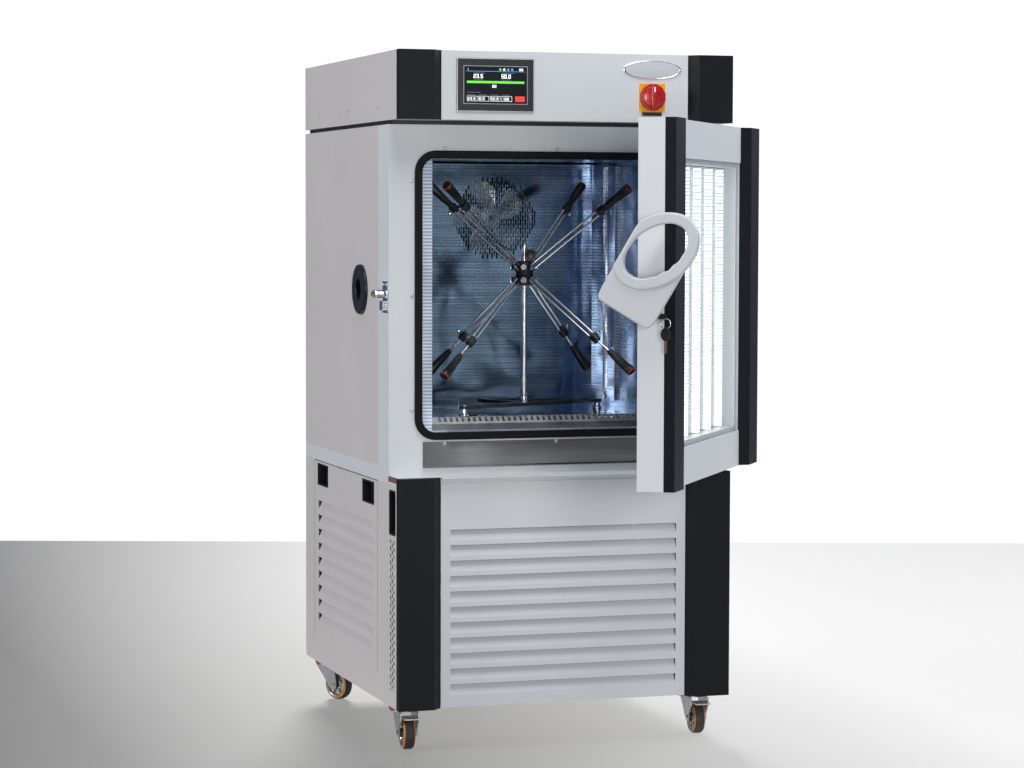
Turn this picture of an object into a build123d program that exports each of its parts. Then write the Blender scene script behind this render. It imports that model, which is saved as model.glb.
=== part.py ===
"""Environmental test chamber on castors, with its glazed door standing open.

Millimetres. X to the right, Y to the back, Z up. The origin is on the floor,
under the middle of the cabinet's footprint.
"""

import os
from math import cos, hypot, radians, sin

from build123d import *

os.makedirs("parts", exist_ok=True)

# Cabinet
cabinet_width = 850.0
cabinet_depth = 945.0
castor_height = 108.0
base_rim_height = 42.0
shelf_height = 559.0
deck_rise = 18.0
chamber_height = 830.0
neck_height = 10.0
neck_inset = 10.0
head_height = 165.0
chamber_setback = 94.0
sheet = 2.0
tray_sheet = 4.0

# Corner trims
trim_return = 25.0
trim_flat = 88.0
trim_bevel_width = 22.0
trim_bevel_depth = 24.0
trim_sheet = 2.5
panel_recess = 22.0
panel_gap = 0.3

# Lower body
strip_depth = 75.0
post_depth = 97.0
hex_hole_radius = 6.2
hex_column_pitch = 15.0
hex_row_pitch = 17.3
hex_rows = 23
hex_bottom = 130.0
grip_slot_width = 60.0
grip_slot_height = 110.0
grip_slot_corner = 8.0
grip_slot_bottom = 526.0
service_panel_bottom = 170.0
service_panel_gap = 3.0
fold_depth = 12.0
louvre_height = 26.0
louvre_pitch = 37.5
louvre_throat = 12.0
louvre_lip = 2.0
front_louvres = 11
front_louvre_width = 582.0
front_louvre_top = 540.0
side_louvres = 9
side_louvre_width = 567.0
side_louvre_top = 542.0
grille_top_gap = 14.0
pull_width = 116.0
pull_height = 58.0
pull_depth = 24.0
pull_centre_height = 612.0
pull_inset = 31.0
spacer_height = 13.0

# Chamber
front_frame_depth = 101.0
seam = 0.6
gasket_half_width = 361.0
gasket_band = 19.0
gasket_depth = 5.5
gasket_corner = 53.0
gasket_bottom = 752.3
gasket_top = 1453.1
cavity_half_width = 317.0
cavity_floor = 797.0
cavity_ceiling = 1440.0
cavity_back = 885.0
liner_sheet = 1.5
liner_corner = 12.0
trough_depth = 9.0
trough_run = 26.0
drip_half_width = 340.0
drip_top = 748.0
drip_lip = 5.0
screw_head_radius = 4.5
screw_head_height = 3.0
screw_spread = 285.0
screw_margin = 6.6
sill_bar_height = 15.5
sill_bar_bottom = 775.5
sill_strip_run = 14.0
sill_slot_width = 6.0
sill_slot_pitch = 14.8

# Air circulation
baffle_setback = 735.0
baffle_top_gap = 5.0
grille_radius = 115.0
grille_slot_width = 4.4
grille_slot_length = 19.0
grille_pitch_x = 6.6
grille_pitch_z = 22.0
fan_x = 42.0
fan_z = 1291.0
fan_radius = 104.0
fan_hub_radius = 30.0
fan_depth = 34.0
fan_blades = 5
fan_motor_radius = 48.0
fan_motor_length = 70.0
fan_shaft_radius = 7.0
running_gap = 0.3
heater_ring_radius = 122.0
heater_tube_radius = 4.0
heater_turns = 3
heater_turn_pitch = 12.0
coil_half_width = 250.0
coil_height = 250.0
coil_depth = 84.0
coil_fins = 21
coil_fin_sheet = 1.6
coil_tube_radius = 6.0
coil_tube_rows = 4

# Shelf rails
rail_front = 529.0
rail_width = 94.0
rail_depth = 8.0
rail_margin = 14.0
rail_hole = 13.0
rail_hole_pitch = 188.0
rail_slot_width = 5.0
rail_slot_length = 16.0
rail_slot_pitch = 65.0

# Access port
port_setback = 354.0
port_height = 1112.6
port_bore_radius = 26.5
port_tube_wall = 2.0
port_flange_radius = 62.5
port_flange_depth = 10.0
port_inner_flange_radius = 42.0
port_inner_flange_depth = 3.0

# Control head
display_x = -180.0
display_z = 1609.0
display_width = 195.0
display_height = 128.5
display_proud = 3.0
screen_width = 154.8
screen_height = 86.0
display_housing_depth = 38.0
badge_x = 221.0
badge_z = 1652.5
badge_width = 152.0
badge_height = 45.0
badge_proud = 2.0
switch_x = 220.5
switch_z = 1586.0
switch_plate_size = 66.5
switch_plate_depth = 4.0
switch_body_depth = 60.0
switch_body_size = 52.0
knob_radius = 25.0
knob_collar_radius = 33.0
knob_depth = 20.0
knob_collar_depth = 7.0
knob_grip_width = 13.0
knob_shaft_radius = 4.0
running_fit = 0.05
label_height = 8.5
label_width = 51.0
tab_height = 1560.5
tab_setbacks = (194.0, 489.0, 786.0)
tab_width = 26.0
tab_stem = 11.0
tab_sheet = 1.2
tab_proud = 1.5

# Door
door_depth = 86.0
door_top_gap = 2.0
door_open = 55.0
door_hinge_x = 437.0
door_hinge_setback = 96.0
door_rail = 86.5
window_rebate = 12.0
glass_sheet = 6.0
led_strips_count = 5
led_strip_pitch = 115.0
led_strip_width = 16.0
led_strip_depth = 8.0
led_setback = 48.0
inner_frame_band = 34.0
inner_frame_depth = 4.0
hinge_bottoms = (745.0, 1373.0)
hinge_length = 80.0
hinge_knuckle_radius = 8.0
hinge_pin_radius = 4.0
hinge_leaf_sheet = 4.0
hinge_leaf_length = 52.0

# Latch
striker_setback = 118.0
striker_height = 1107.0
striker_pin_radius = 10.0
striker_reach = 37.0
striker_plate_width = 42.0
striker_plate_height = 77.0
striker_plate_sheet = 4.0
striker_lug_size = 24.0
striker_lug_reach = 14.0
handle_pivot_setback = 50.0
handle_standoff = 39.5
handle_plate_depth = 11.0
handle_ring_depth = 17.0
handle_tilt = 30.5
handle_width = 143.0
handle_tail_shift = 5.5
handle_ring_setback = 32.0
handle_ring_height = 1219.0
handle_ring_half_length = 104.5
handle_ring_half_width = 75.0
handle_ring_lean = 27.0
handle_grip_half_length = 80.0
handle_grip_half_width = 49.5
handle_grip_shift = (2.5, 3.5)
handle_tail = 159.0
handle_corner = 18.0
handle_spindle_radius = 7.0
handle_boss_radius = 21.0
finger_radius = 84.0
finger_width = 8.0
finger_sweep = 22.0
finger_reach = 24.0
lock_height = 1075.0
lock_radius = 11.0
lock_front = 40.0
lock_back = 66.0
lock_standoff = 20.0
key_shank_radius = 3.0
key_bow_length = 26.0
key_bow_width = 13.0
key_bow_sheet = 5.0
key_ring_radius = 12.0
key_ring_wire = 1.0
spare_bow_length = 30.0
spare_bow_width = 22.0
spare_blade_length = 28.0
spare_blade_width = 7.0
spare_blade_sheet = 2.0

# Castors
wheel_radius = 40.0
wheel_width = 30.0
wheel_hub_radius = 11.0
castor_trail = 35.0
castor_plate_width = 76.0
castor_plate_length = 92.0
castor_plate_sheet = 4.0
swivel_race_radius = 36.0
swivel_race_height = 10.0
fork_crown_sheet = 4.0
fork_leg_sheet = 3.0
fork_leg_gap = 5.5
axle_radius = 4.0
swivel_pin_radius = 6.0
pedal_length = 36.0
pedal_width = 38.0
pedal_sheet = 3.0
pedal_pivot_reach = 62.0
pedal_pivot_height = 82.0
castor_inset_x = 48.0
castor_front_setback = 128.0
castor_rear_setback = 876.0
castor_headings = {"front_left": 266.0, "front_right": 265.4, "rear_left": 300.8, "rear_right": 283.0}

# Machine compartment
condenser_x = -90.0
condenser_width = 380.0
condenser_height = 400.0
condenser_depth = 55.0
condenser_setback = 70.0
condenser_fins = 25
condenser_fin_sheet = 2.0
condenser_tube_rows = 5
shroud_depth = 70.0
condenser_fan_radius = 150.0
condenser_fan_hub = 36.0
condenser_fan_depth = 30.0
condenser_motor_radius = 42.0
condenser_motor_length = 60.0
compressor_x = 150.0
compressor_setback = 560.0
compressor_radius = 95.0
compressor_height = 250.0
compressor_foot = 14.0
control_box_width = 560.0
control_box_depth = 420.0
control_box_height = 110.0
control_box_setback = 380.0
rear_slot_rows = 12
rear_slot_pitch = 22.0
rear_slot_length = 360.0
rear_slot_height = 8.0
rear_slot_bottom = 260.0

# Sensor stand
pole_x = 10.0
pole_setback = 380.0
pole_radius = 7.5
pole_top = 1223.0
stand_foot_height = 18.0
stand_foot_radius = 13.0
stand_plate_sheet = 8.0
stand_foot_reach = 232.0
stand_foot_headings = (17.0, 115.0, 212.0)
stand_hub_radius = 24.0
stand_hub_bottom = 1119.0
stand_hub_height = 63.0
thumb_screw_radius = 8.0
thumb_screw_length = 16.0
arm_rod_radius = 3.0
arm_rod_spacing = 13.0
arm_collar_radius = 11.0
arm_collar_length = 22.0
lower_rod_reach = 40.0
probe_length = 84.0
probe_root_radius = 7.0
probe_tip_radius = 12.5
arm_ends = (
    (220.0, 178.0, 1368.0),
    (220.0, 537.0, 1378.0),
    (-200.0, 537.0, 1378.0),
    (-259.0, 170.0, 1372.0),
    (220.0, 150.0, 907.0),
    (220.0, 490.0, 900.0),
    (-200.0, 530.0, 892.0),
    (-256.0, 200.0, 900.0),
)

# Levels and planes that follow from the sizes above
half_width = cabinet_width / 2
front_y = -cabinet_depth / 2
back_y = cabinet_depth / 2
base_top = castor_height + base_rim_height
shelf_top = castor_height + shelf_height
chamber_bottom = shelf_top + deck_rise
chamber_top = chamber_bottom + chamber_height
head_bottom = chamber_top + neck_height
head_top = head_bottom + head_height
chamber_front = front_y + chamber_setback
trim_inner_x = half_width - trim_flat - trim_bevel_width
panel_half_width = trim_inner_x - panel_gap
panel_y = front_y + panel_recess
liner_back = front_y + cavity_back
door_top = chamber_top - door_top_gap
door_axis = Axis((door_hinge_x, front_y + door_hinge_setback, 0), (0, 0, 1))
door_back = front_y + door_depth
door_side = -half_width


def block(x_range, y_range, z_range, mode=Mode.ADD):
    """A box between three pairs of limits."""
    size = [limit[1] - limit[0] for limit in (x_range, y_range, z_range)]
    with Locations([(sum(x_range) / 2, sum(y_range) / 2, sum(z_range) / 2)]):
        Box(*size, mode=mode)


def rod(start, end, radius, mode=Mode.ADD):
    """A round bar from one point to another."""
    run = Vector(*end) - Vector(*start)
    with BuildSketch(Plane(origin=start, z_dir=run)) as disc:
        Circle(radius)
    extrude(disc.sketch, amount=run.length, mode=mode)


def cone(start, end, start_radius, end_radius):
    """A tapered round bar from one point to another."""
    run = Vector(*end) - Vector(*start)
    with BuildSketch(Plane(origin=start, z_dir=run)) as root_disc:
        Circle(start_radius)
    with BuildSketch(Plane(origin=end, z_dir=run)) as tip_disc:
        Circle(end_radius)
    loft([root_disc.sketch, tip_disc.sketch])


def keep(piece, name):
    """Label a finished piece and write it."""
    piece.part.label = name
    export_step(piece.part, f"parts/{name}.step")


def keep_on_door(piece, name):
    """Swing a piece that was drawn on the closed door to the open pose, then write it."""
    swung = piece.part.rotate(door_axis, door_open)
    swung.label = name
    export_step(swung, f"parts/{name}.step")


def trim_outline(side):
    """Plan of a corner trim: side return, flat front and bevel, one sheet thick."""
    slant = hypot(trim_bevel_width, trim_bevel_depth)
    corner_x = half_width - trim_flat
    bend = trim_sheet * (1 - trim_bevel_width / slant) / trim_bevel_depth
    inner_corner_x = corner_x + trim_sheet * trim_bevel_depth / slant - trim_bevel_width * bend
    points = [
        (half_width, trim_return),
        (half_width, 0),
        (corner_x, 0),
        (trim_inner_x, trim_bevel_depth),
        (trim_inner_x + trim_sheet * slant / trim_bevel_width, trim_bevel_depth),
        (inner_corner_x, trim_sheet),
        (half_width - trim_sheet, trim_sheet),
        (half_width - trim_sheet, trim_return),
    ]
    return [(side * x, front_y + y) for x, y in points]


def cap_outline(side):
    """Plan of the plate that closes a trim's end."""
    points = [
        (half_width, trim_return),
        (half_width, 0),
        (half_width - trim_flat, 0),
        (trim_inner_x, trim_bevel_depth),
        (trim_inner_x, trim_return),
    ]
    return [(side * x, front_y + y) for x, y in points]


def corner_trim(side, bottom, top):
    """One trim with its two end plates."""
    with BuildSketch(Plane.XY.offset(bottom)) as bar:
        Polygon(*trim_outline(side), align=None)
    extrude(bar.sketch, amount=top - bottom)
    for level in (bottom, top - trim_sheet):
        with BuildSketch(Plane.XY.offset(level)) as cap:
            Polygon(*cap_outline(side), align=None)
        extrude(cap.sketch, amount=trim_sheet)


def folded_sheet(face, width, height, windows):
    """A sheet with folded edges; windows are (x, y, width, height) cuts on its face."""
    with BuildSketch(face) as skin:
        Rectangle(width, height)
        for x, y, cut_width, cut_height in windows:
            with Locations((x, y)):
                Rectangle(cut_width, cut_height, mode=Mode.SUBTRACT)
    extrude(skin.sketch, amount=-sheet)
    with BuildSketch(face) as rim:
        Rectangle(width, height)
        Rectangle(width - 2 * sheet, height - 2 * sheet, mode=Mode.SUBTRACT)
    extrude(rim.sketch, amount=-fold_depth)


def louvre_windows(width, count, top, centre_height):
    """Cuts for a column of louvres, measured from the middle of their panel."""
    middle = top - louvre_height / 2 - centre_height
    return [(0, middle - row * louvre_pitch, width, louvre_height) for row in range(count)]


def louvre_slats(face, windows):
    """Slats that lean inwards from the lower edge of each cut."""
    for x, y, width, height in windows:
        foot = face.from_local_coords((x - width / 2, y, 0))
        section = Plane(origin=foot, x_dir=-face.z_dir, z_dir=face.x_dir)
        with BuildSketch(section) as slat:
            Polygon(
                (0, -height / 2),
                (sheet, -height / 2),
                (louvre_throat + sheet, height / 2 - louvre_lip),
                (louvre_throat, height / 2 - louvre_lip),
                align=None,
            )
        extrude(slat.sketch, amount=width)


def side_face(side, setback, height):
    """The cabinet's side as a sketch plane whose x runs along Y and whose y runs up."""
    x_dir = (0, side, 0)
    return Plane(origin=(side * half_width, front_y + setback, height), x_dir=x_dir, z_dir=(side, 0, 0))


# Welded base frame: rim, tray, posts and the perforated front strips
strip_front = trim_return
strip_back = strip_front + strip_depth
post_back = strip_back + post_depth
panel_length = cabinet_depth - post_back - post_depth - 2 * service_panel_gap
rear_post_front = cabinet_depth - post_depth
frame_top = shelf_top - deck_rise
rim_setback = panel_recess + louvre_throat + 3 * sheet
strip_height = frame_top - castor_height
strip_middle = castor_height + strip_height / 2

with BuildPart() as base_frame:
    rim_y = (front_y + rim_setback, back_y)
    block((-half_width, half_width), rim_y, (castor_height, base_top))
    inner_x = (-half_width + sheet, half_width - sheet)
    inner_y = (front_y + rim_setback + sheet, back_y - sheet)
    block(inner_x, inner_y, (castor_height + tray_sheet, base_top), Mode.SUBTRACT)
    for side in (-1, 1):
        outer_x = sorted((side * half_width, side * (half_width - sheet)))
        flange_x = sorted((side * half_width, side * (half_width - fold_depth)))
        strip_face = side_face(side, strip_front + strip_depth / 2, strip_middle)
        with BuildSketch(strip_face) as strip:
            Rectangle(strip_depth, strip_height)
            with Locations((0, hex_bottom + (hex_rows - 1) * hex_row_pitch / 2 - strip_middle)):
                with GridLocations(2 * hex_column_pitch, hex_row_pitch, 2, hex_rows):
                    RegularPolygon(hex_hole_radius, 6, rotation=90, mode=Mode.SUBTRACT)
                with GridLocations(1, hex_row_pitch, 1, hex_rows - 1):
                    RegularPolygon(hex_hole_radius, 6, rotation=90, mode=Mode.SUBTRACT)
            with Locations((0, grip_slot_bottom + grip_slot_height / 2 - strip_middle)):
                RectangleRounded(grip_slot_width, grip_slot_height, grip_slot_corner, mode=Mode.SUBTRACT)
        extrude(strip.sketch, amount=-sheet)
        strip_edge = (front_y + strip_front, front_y + strip_front + sheet)
        block(flange_x, strip_edge, (castor_height, frame_top))
        ledge_y = (front_y + post_back, front_y + rear_post_front)
        block(outer_x, ledge_y, (base_top, service_panel_bottom))
        block(flange_x, ledge_y, (service_panel_bottom - sheet, service_panel_bottom))
        for start in (strip_back, rear_post_front):
            post_y = (front_y + start, front_y + start + post_depth)
            block(outer_x, post_y, (base_top, frame_top))
            for wall in (post_y[0], post_y[1] - sheet):
                block(flange_x, (wall, wall + sheet), (base_top, frame_top))
keep(base_frame, "base_frame")

# Deck: the shelf in front of the chamber and the plinth under it
with BuildPart() as machine_deck:
    deck_x = (-half_width, half_width)
    block(deck_x, (front_y + trim_return, back_y), (frame_top, shelf_top))
    block(
        (-trim_inner_x, trim_inner_x), (front_y + sheet, front_y + trim_return), (shelf_top - sheet, shelf_top)
    )
    block(deck_x, (chamber_front, back_y), (shelf_top, chamber_bottom))
    well_x = (-half_width + trim_flat, half_width - trim_flat)
    block(well_x, (chamber_front + trim_flat, back_y - trim_flat), (frame_top, shelf_top), Mode.SUBTRACT)
    for side in (-1, 1):
        notch_x = sorted((side * half_width, side * (half_width - tray_sheet)))
        notch_y = (front_y + trim_return, front_y + strip_back)
        block(notch_x, notch_y, (shelf_top - spacer_height, shelf_top), Mode.SUBTRACT)
keep(machine_deck, "machine_deck")

with BuildPart() as shelf_spacers:
    for side in (-1, 1):
        notch_x = sorted((side * half_width, side * (half_width - tray_sheet)))
        notch_y = (front_y + trim_return, front_y + strip_back)
        block(notch_x, notch_y, (shelf_top - spacer_height, shelf_top))
keep(shelf_spacers, "shelf_spacers")

# Service panels on both sides, with their black finger pulls
panel_middle = post_back + service_panel_gap + panel_length / 2
service_panel_height = frame_top - service_panel_gap - service_panel_bottom
panel_mid_height = service_panel_bottom + service_panel_height / 2
pull_y = panel_length / 2 - pull_inset - pull_width / 2
pull_offset = pull_centre_height - panel_mid_height
pull_cuts = [(-pull_y, pull_offset, pull_width, pull_height), (pull_y, pull_offset, pull_width, pull_height)]

for side, name in ((-1, "left_service_panel"), (1, "right_service_panel")):
    with BuildPart() as service_panel:
        face = side_face(side, panel_middle, panel_mid_height)
        rows = louvre_windows(side_louvre_width, side_louvres, side_louvre_top, panel_mid_height)
        folded_sheet(face, panel_length, service_panel_height, rows + pull_cuts)
        louvre_slats(face, rows)
    keep(service_panel, name)

with BuildPart() as panel_pulls:
    for side in (-1, 1):
        face = side_face(side, panel_middle, panel_mid_height)
        for x, y, width, height in pull_cuts:
            cup_face = Plane(origin=face.from_local_coords((x, y, 0)), x_dir=face.x_dir, z_dir=face.z_dir)
            with BuildSketch(cup_face) as cup:
                Rectangle(width - panel_gap, height - panel_gap)
            extrude(cup.sketch, amount=-pull_depth)
            with BuildSketch(cup_face) as hollow:
                Rectangle(width - panel_gap - 2 * tray_sheet, height - panel_gap - 2 * tray_sheet)
            extrude(hollow.sketch, amount=-(pull_depth - sheet), mode=Mode.SUBTRACT)
        slot_face = side_face(side, strip_front + strip_depth / 2, grip_slot_bottom + grip_slot_height / 2)
        with BuildSketch(slot_face) as grip:
            RectangleRounded(grip_slot_width - panel_gap, grip_slot_height - panel_gap, grip_slot_corner)
        extrude(grip.sketch, amount=-pull_depth)
        with BuildSketch(slot_face) as grip_hollow:
            RectangleRounded(
                grip_slot_width - panel_gap - 2 * tray_sheet,
                grip_slot_height - panel_gap - 2 * tray_sheet,
                grip_slot_corner - tray_sheet,
            )
        extrude(grip_hollow.sketch, amount=-(pull_depth - sheet), mode=Mode.SUBTRACT)
keep(panel_pulls, "panel_pulls")

# Front grille
grille_top = shelf_top - grille_top_gap
grille_bottom = castor_height + sheet
grille_height = grille_top - grille_bottom
grille_middle = grille_bottom + grille_height / 2
with BuildPart() as front_grille:
    face = Plane(origin=(0, panel_y, grille_middle), x_dir=(1, 0, 0), z_dir=(0, -1, 0))
    rows = louvre_windows(front_louvre_width, front_louvres, front_louvre_top, grille_middle)
    with BuildSketch(face) as grille_skin:
        Rectangle(2 * panel_half_width, grille_height)
        for x, y, cut_width, cut_height in rows:
            with Locations((x, y)):
                Rectangle(cut_width, cut_height, mode=Mode.SUBTRACT)
    extrude(grille_skin.sketch, amount=-sheet)
    louvre_slats(face, rows)
keep(front_grille, "front_grille")

with BuildPart() as corner_trims:
    for side in (-1, 1):
        corner_trim(side, castor_height, shelf_top)
        corner_trim(side, head_bottom, head_top)
keep(corner_trims, "corner_trims")

# Rear cover of the machine compartment
with BuildPart() as rear_panel:
    rear_width = cabinet_width - 2 * fold_depth - 2 * panel_gap
    rear_bottom = base_top
    rear_height = frame_top - panel_gap - rear_bottom
    rear_face = Plane(
        origin=(0, back_y, rear_bottom + rear_height / 2), x_dir=(-1, 0, 0), z_dir=(0, 1, 0)
    )
    slots = [
        (0, rear_slot_bottom + row * rear_slot_pitch - rear_bottom - rear_height / 2, rear_slot_length, rear_slot_height)
        for row in range(rear_slot_rows)
    ]
    folded_sheet(rear_face, rear_width, rear_height, slots)
keep(rear_panel, "rear_panel")

# Chamber casing: front frame, wrap-around and foam
liner_half_width = cavity_half_width + liner_sheet
liner_bottom = cavity_floor - liner_sheet
liner_top = cavity_ceiling + liner_sheet
trough_bottom = liner_bottom - trough_depth
trough_y = (chamber_front, chamber_front + trough_run)
frame_back = chamber_front + front_frame_depth
port_axis_y = front_y + port_setback
port_hole_radius = port_bore_radius + port_tube_wall

with BuildPart() as chamber_front_frame:
    block((-half_width, half_width), (chamber_front, frame_back), (chamber_bottom, chamber_top))
    hollow_x = (-half_width + sheet, half_width - sheet)
    block(hollow_x, (chamber_front + sheet, frame_back), (chamber_bottom, chamber_top), Mode.SUBTRACT)
    block(
        (-liner_half_width, liner_half_width),
        (chamber_front, chamber_front + sheet),
        (trough_bottom, liner_top),
        Mode.SUBTRACT,
    )
keep(chamber_front_frame, "chamber_front_frame")

with BuildPart() as chamber_wrap:
    wrap_front = frame_back + seam
    block((-half_width, half_width), (wrap_front, back_y), (chamber_bottom, chamber_top))
    block(
        (-half_width + sheet, half_width - sheet),
        (wrap_front, back_y - sheet),
        (chamber_bottom + sheet, chamber_top - sheet),
        Mode.SUBTRACT,
    )
    rod(
        (-half_width - sheet, port_axis_y, port_height),
        (-half_width + 2 * sheet, port_axis_y, port_height),
        port_hole_radius,
        Mode.SUBTRACT,
    )
keep(chamber_wrap, "chamber_wrap")

with BuildPart() as insulation:
    block(
        (-half_width + sheet, half_width - sheet),
        (chamber_front + sheet, back_y - sheet),
        (chamber_bottom + sheet, chamber_top - sheet),
    )
    block(
        (-liner_half_width, liner_half_width),
        (chamber_front, liner_back + liner_sheet),
        (liner_bottom, liner_top),
        Mode.SUBTRACT,
    )
    block((-liner_half_width, liner_half_width), trough_y, (trough_bottom, liner_bottom), Mode.SUBTRACT)
    rod(
        (-half_width, port_axis_y, port_height),
        (-cavity_half_width, port_axis_y, port_height),
        port_hole_radius,
        Mode.SUBTRACT,
    )
keep(insulation, "insulation")

# Stainless liner with its front flange
flange_front = chamber_front - liner_sheet
gasket_mid_height = (gasket_bottom + gasket_top) / 2
gasket_height = gasket_top - gasket_bottom
gasket_front = flange_front - gasket_depth
flange_inset = 1.0

with BuildPart() as inner_liner:
    block(
        (-liner_half_width, liner_half_width),
        (flange_front + liner_sheet, liner_back + liner_sheet),
        (liner_bottom, liner_top),
    )
    block((-liner_half_width, liner_half_width), trough_y, (trough_bottom, liner_bottom))
    flange_plane = Plane(origin=(0, chamber_front, gasket_mid_height), x_dir=(1, 0, 0), z_dir=(0, -1, 0))
    with BuildSketch(flange_plane) as flange:
        RectangleRounded(
            2 * (gasket_half_width - flange_inset), gasket_height - 2 * flange_inset, gasket_corner - flange_inset
        )
    extrude(flange.sketch, amount=liner_sheet)
    block(
        (-cavity_half_width, cavity_half_width),
        (flange_front, liner_back),
        (cavity_floor, cavity_ceiling),
        Mode.SUBTRACT,
    )
    trough_hollow = (flange_front, trough_y[1] - liner_sheet)
    block(
        (-cavity_half_width, cavity_half_width),
        trough_hollow,
        (trough_bottom + liner_sheet, cavity_floor),
        Mode.SUBTRACT,
    )
    rod(
        (-liner_half_width - sheet, port_axis_y, port_height),
        (-cavity_half_width + sheet, port_axis_y, port_height),
        port_hole_radius,
        Mode.SUBTRACT,
    )
keep(inner_liner, "inner_liner")

with BuildPart() as opening_gasket:
    seal_plane = Plane(origin=(0, flange_front, gasket_mid_height), x_dir=(1, 0, 0), z_dir=(0, -1, 0))
    with BuildSketch(seal_plane) as seal:
        RectangleRounded(2 * gasket_half_width, gasket_height, gasket_corner)
        RectangleRounded(
            2 * (gasket_half_width - gasket_band),
            gasket_height - 2 * gasket_band,
            gasket_corner - gasket_band,
            mode=Mode.SUBTRACT,
        )
    extrude(seal.sketch, amount=gasket_depth)
    seal_front = opening_gasket.faces().sort_by(Axis.Y)[0]
    fillet(seal_front.edges(), gasket_depth / 2)
keep(opening_gasket, "opening_gasket")

# Screws round the opening
with BuildPart() as flange_screws:
    screw_x = gasket_half_width + screw_margin
    screw_spots = [(x, gasket_top + screw_margin - 1) for x in (-screw_spread, 0, screw_spread)]
    screw_spots += [(x, gasket_bottom - screw_margin - 2) for x in (-screw_spread, 0, screw_spread)]
    screw_spots += [
        (side * screw_x, gasket_mid_height + step) for side in (-1, 1) for step in (-screw_spread + 8, 0, screw_spread - 8)
    ]
    for x, z in screw_spots:
        on_drip = abs(x) < drip_half_width and z < drip_top
        seat = chamber_front - (sheet if on_drip else 0)
        rod((x, seat, z), (x, seat - screw_head_height, z), screw_head_radius)
keep(flange_screws, "flange_screws")

with BuildPart() as drip_panel:
    drip_y = (chamber_front - sheet, chamber_front)
    block((-drip_half_width, drip_half_width), drip_y, (chamber_bottom, drip_top))
    lip_plane = Plane(origin=(-drip_half_width, chamber_front, chamber_bottom), x_dir=(0, 1, 0), z_dir=(1, 0, 0))
    with BuildSketch(lip_plane) as lip:
        Polygon(
            (-sheet, drip_lip),
            (-sheet, drip_lip - sheet),
            (-sheet - drip_lip, 0),
            (-sheet - drip_lip, sheet),
            align=None,
        )
    extrude(lip.sketch, amount=2 * drip_half_width)
keep(drip_panel, "drip_panel")

# Sill behind the opening: bright bar and slotted drain strip
with BuildPart() as sill_grate:
    sill_x = (-cavity_half_width + panel_gap, cavity_half_width - panel_gap)
    sill_bar_top = sill_bar_bottom + sill_bar_height
    block(sill_x, (flange_front - sheet, flange_front), (sill_bar_bottom, sill_bar_top))
    strip_plane = Plane(origin=(sill_x[0], flange_front, sill_bar_top), x_dir=(0, 1, 0), z_dir=(1, 0, 0))
    with BuildSketch(strip_plane) as slope:
        Polygon(
            (-sheet, 0),
            (0, -sheet),
            (sill_strip_run, sill_strip_run - sheet),
            (sill_strip_run, sill_strip_run + sheet),
            (sill_strip_run - sheet, sill_strip_run),
            align=None,
        )
    extrude(slope.sketch, amount=sill_x[1] - sill_x[0])
    slot_count = int((sill_x[1] - sill_x[0]) / sill_slot_pitch) - 1
    slot_middle = (0, flange_front + (sill_strip_run + sheet) / 2, sill_bar_top + (sill_strip_run + sheet) / 2)
    with Locations(slot_middle):
        with GridLocations(sill_slot_pitch, 1, slot_count, 1):
            Box(sill_slot_width, sill_strip_run - 2 * sheet, sill_strip_run + 2 * sheet, mode=Mode.SUBTRACT)
keep(sill_grate, "sill_grate")

# Air baffle with its grille of staggered slots
baffle_front = front_y + baffle_setback
baffle_top = cavity_ceiling - baffle_top_gap
with BuildPart() as air_baffle:
    baffle_height = baffle_top - cavity_floor
    baffle_mid = cavity_floor + baffle_height / 2
    baffle_plane = Plane(origin=(0, baffle_front + sheet, baffle_mid), x_dir=(1, 0, 0), z_dir=(0, -1, 0))
    with BuildSketch(baffle_plane) as baffle:
        Rectangle(2 * (cavity_half_width - running_gap), baffle_height)
        columns = int(grille_radius / grille_pitch_x)
        rows_up = int(grille_radius / grille_pitch_z) + 1
        slot_spots = []
        for column in range(-columns, columns + 1):
            x = column * grille_pitch_x
            shift = (column % 2) * grille_pitch_z / 2
            for row in range(-rows_up, rows_up + 1):
                z = row * grille_pitch_z + shift
                if hypot(x, abs(z) + grille_slot_length / 2) < grille_radius:
                    slot_spots.append((fan_x + x, fan_z - baffle_mid + z))
        with Locations(*slot_spots):
            Rectangle(grille_slot_width, grille_slot_length, mode=Mode.SUBTRACT)
    extrude(baffle.sketch, amount=sheet)
keep(air_baffle, "air_baffle")

# Circulation fan and its motor
motor_front = liner_back - fan_motor_length
fan_back = motor_front - 10
fan_front = fan_back - fan_depth

with BuildPart() as circulation_motor:
    rod((fan_x, liner_back, fan_z), (fan_x, motor_front, fan_z), fan_motor_radius)
    rod((fan_x, motor_front, fan_z), (fan_x, motor_front - 4, fan_z), fan_hub_radius)
    rod((fan_x, motor_front, fan_z), (fan_x, fan_front - 4, fan_z), fan_shaft_radius)
keep(circulation_motor, "circulation_motor")


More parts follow.
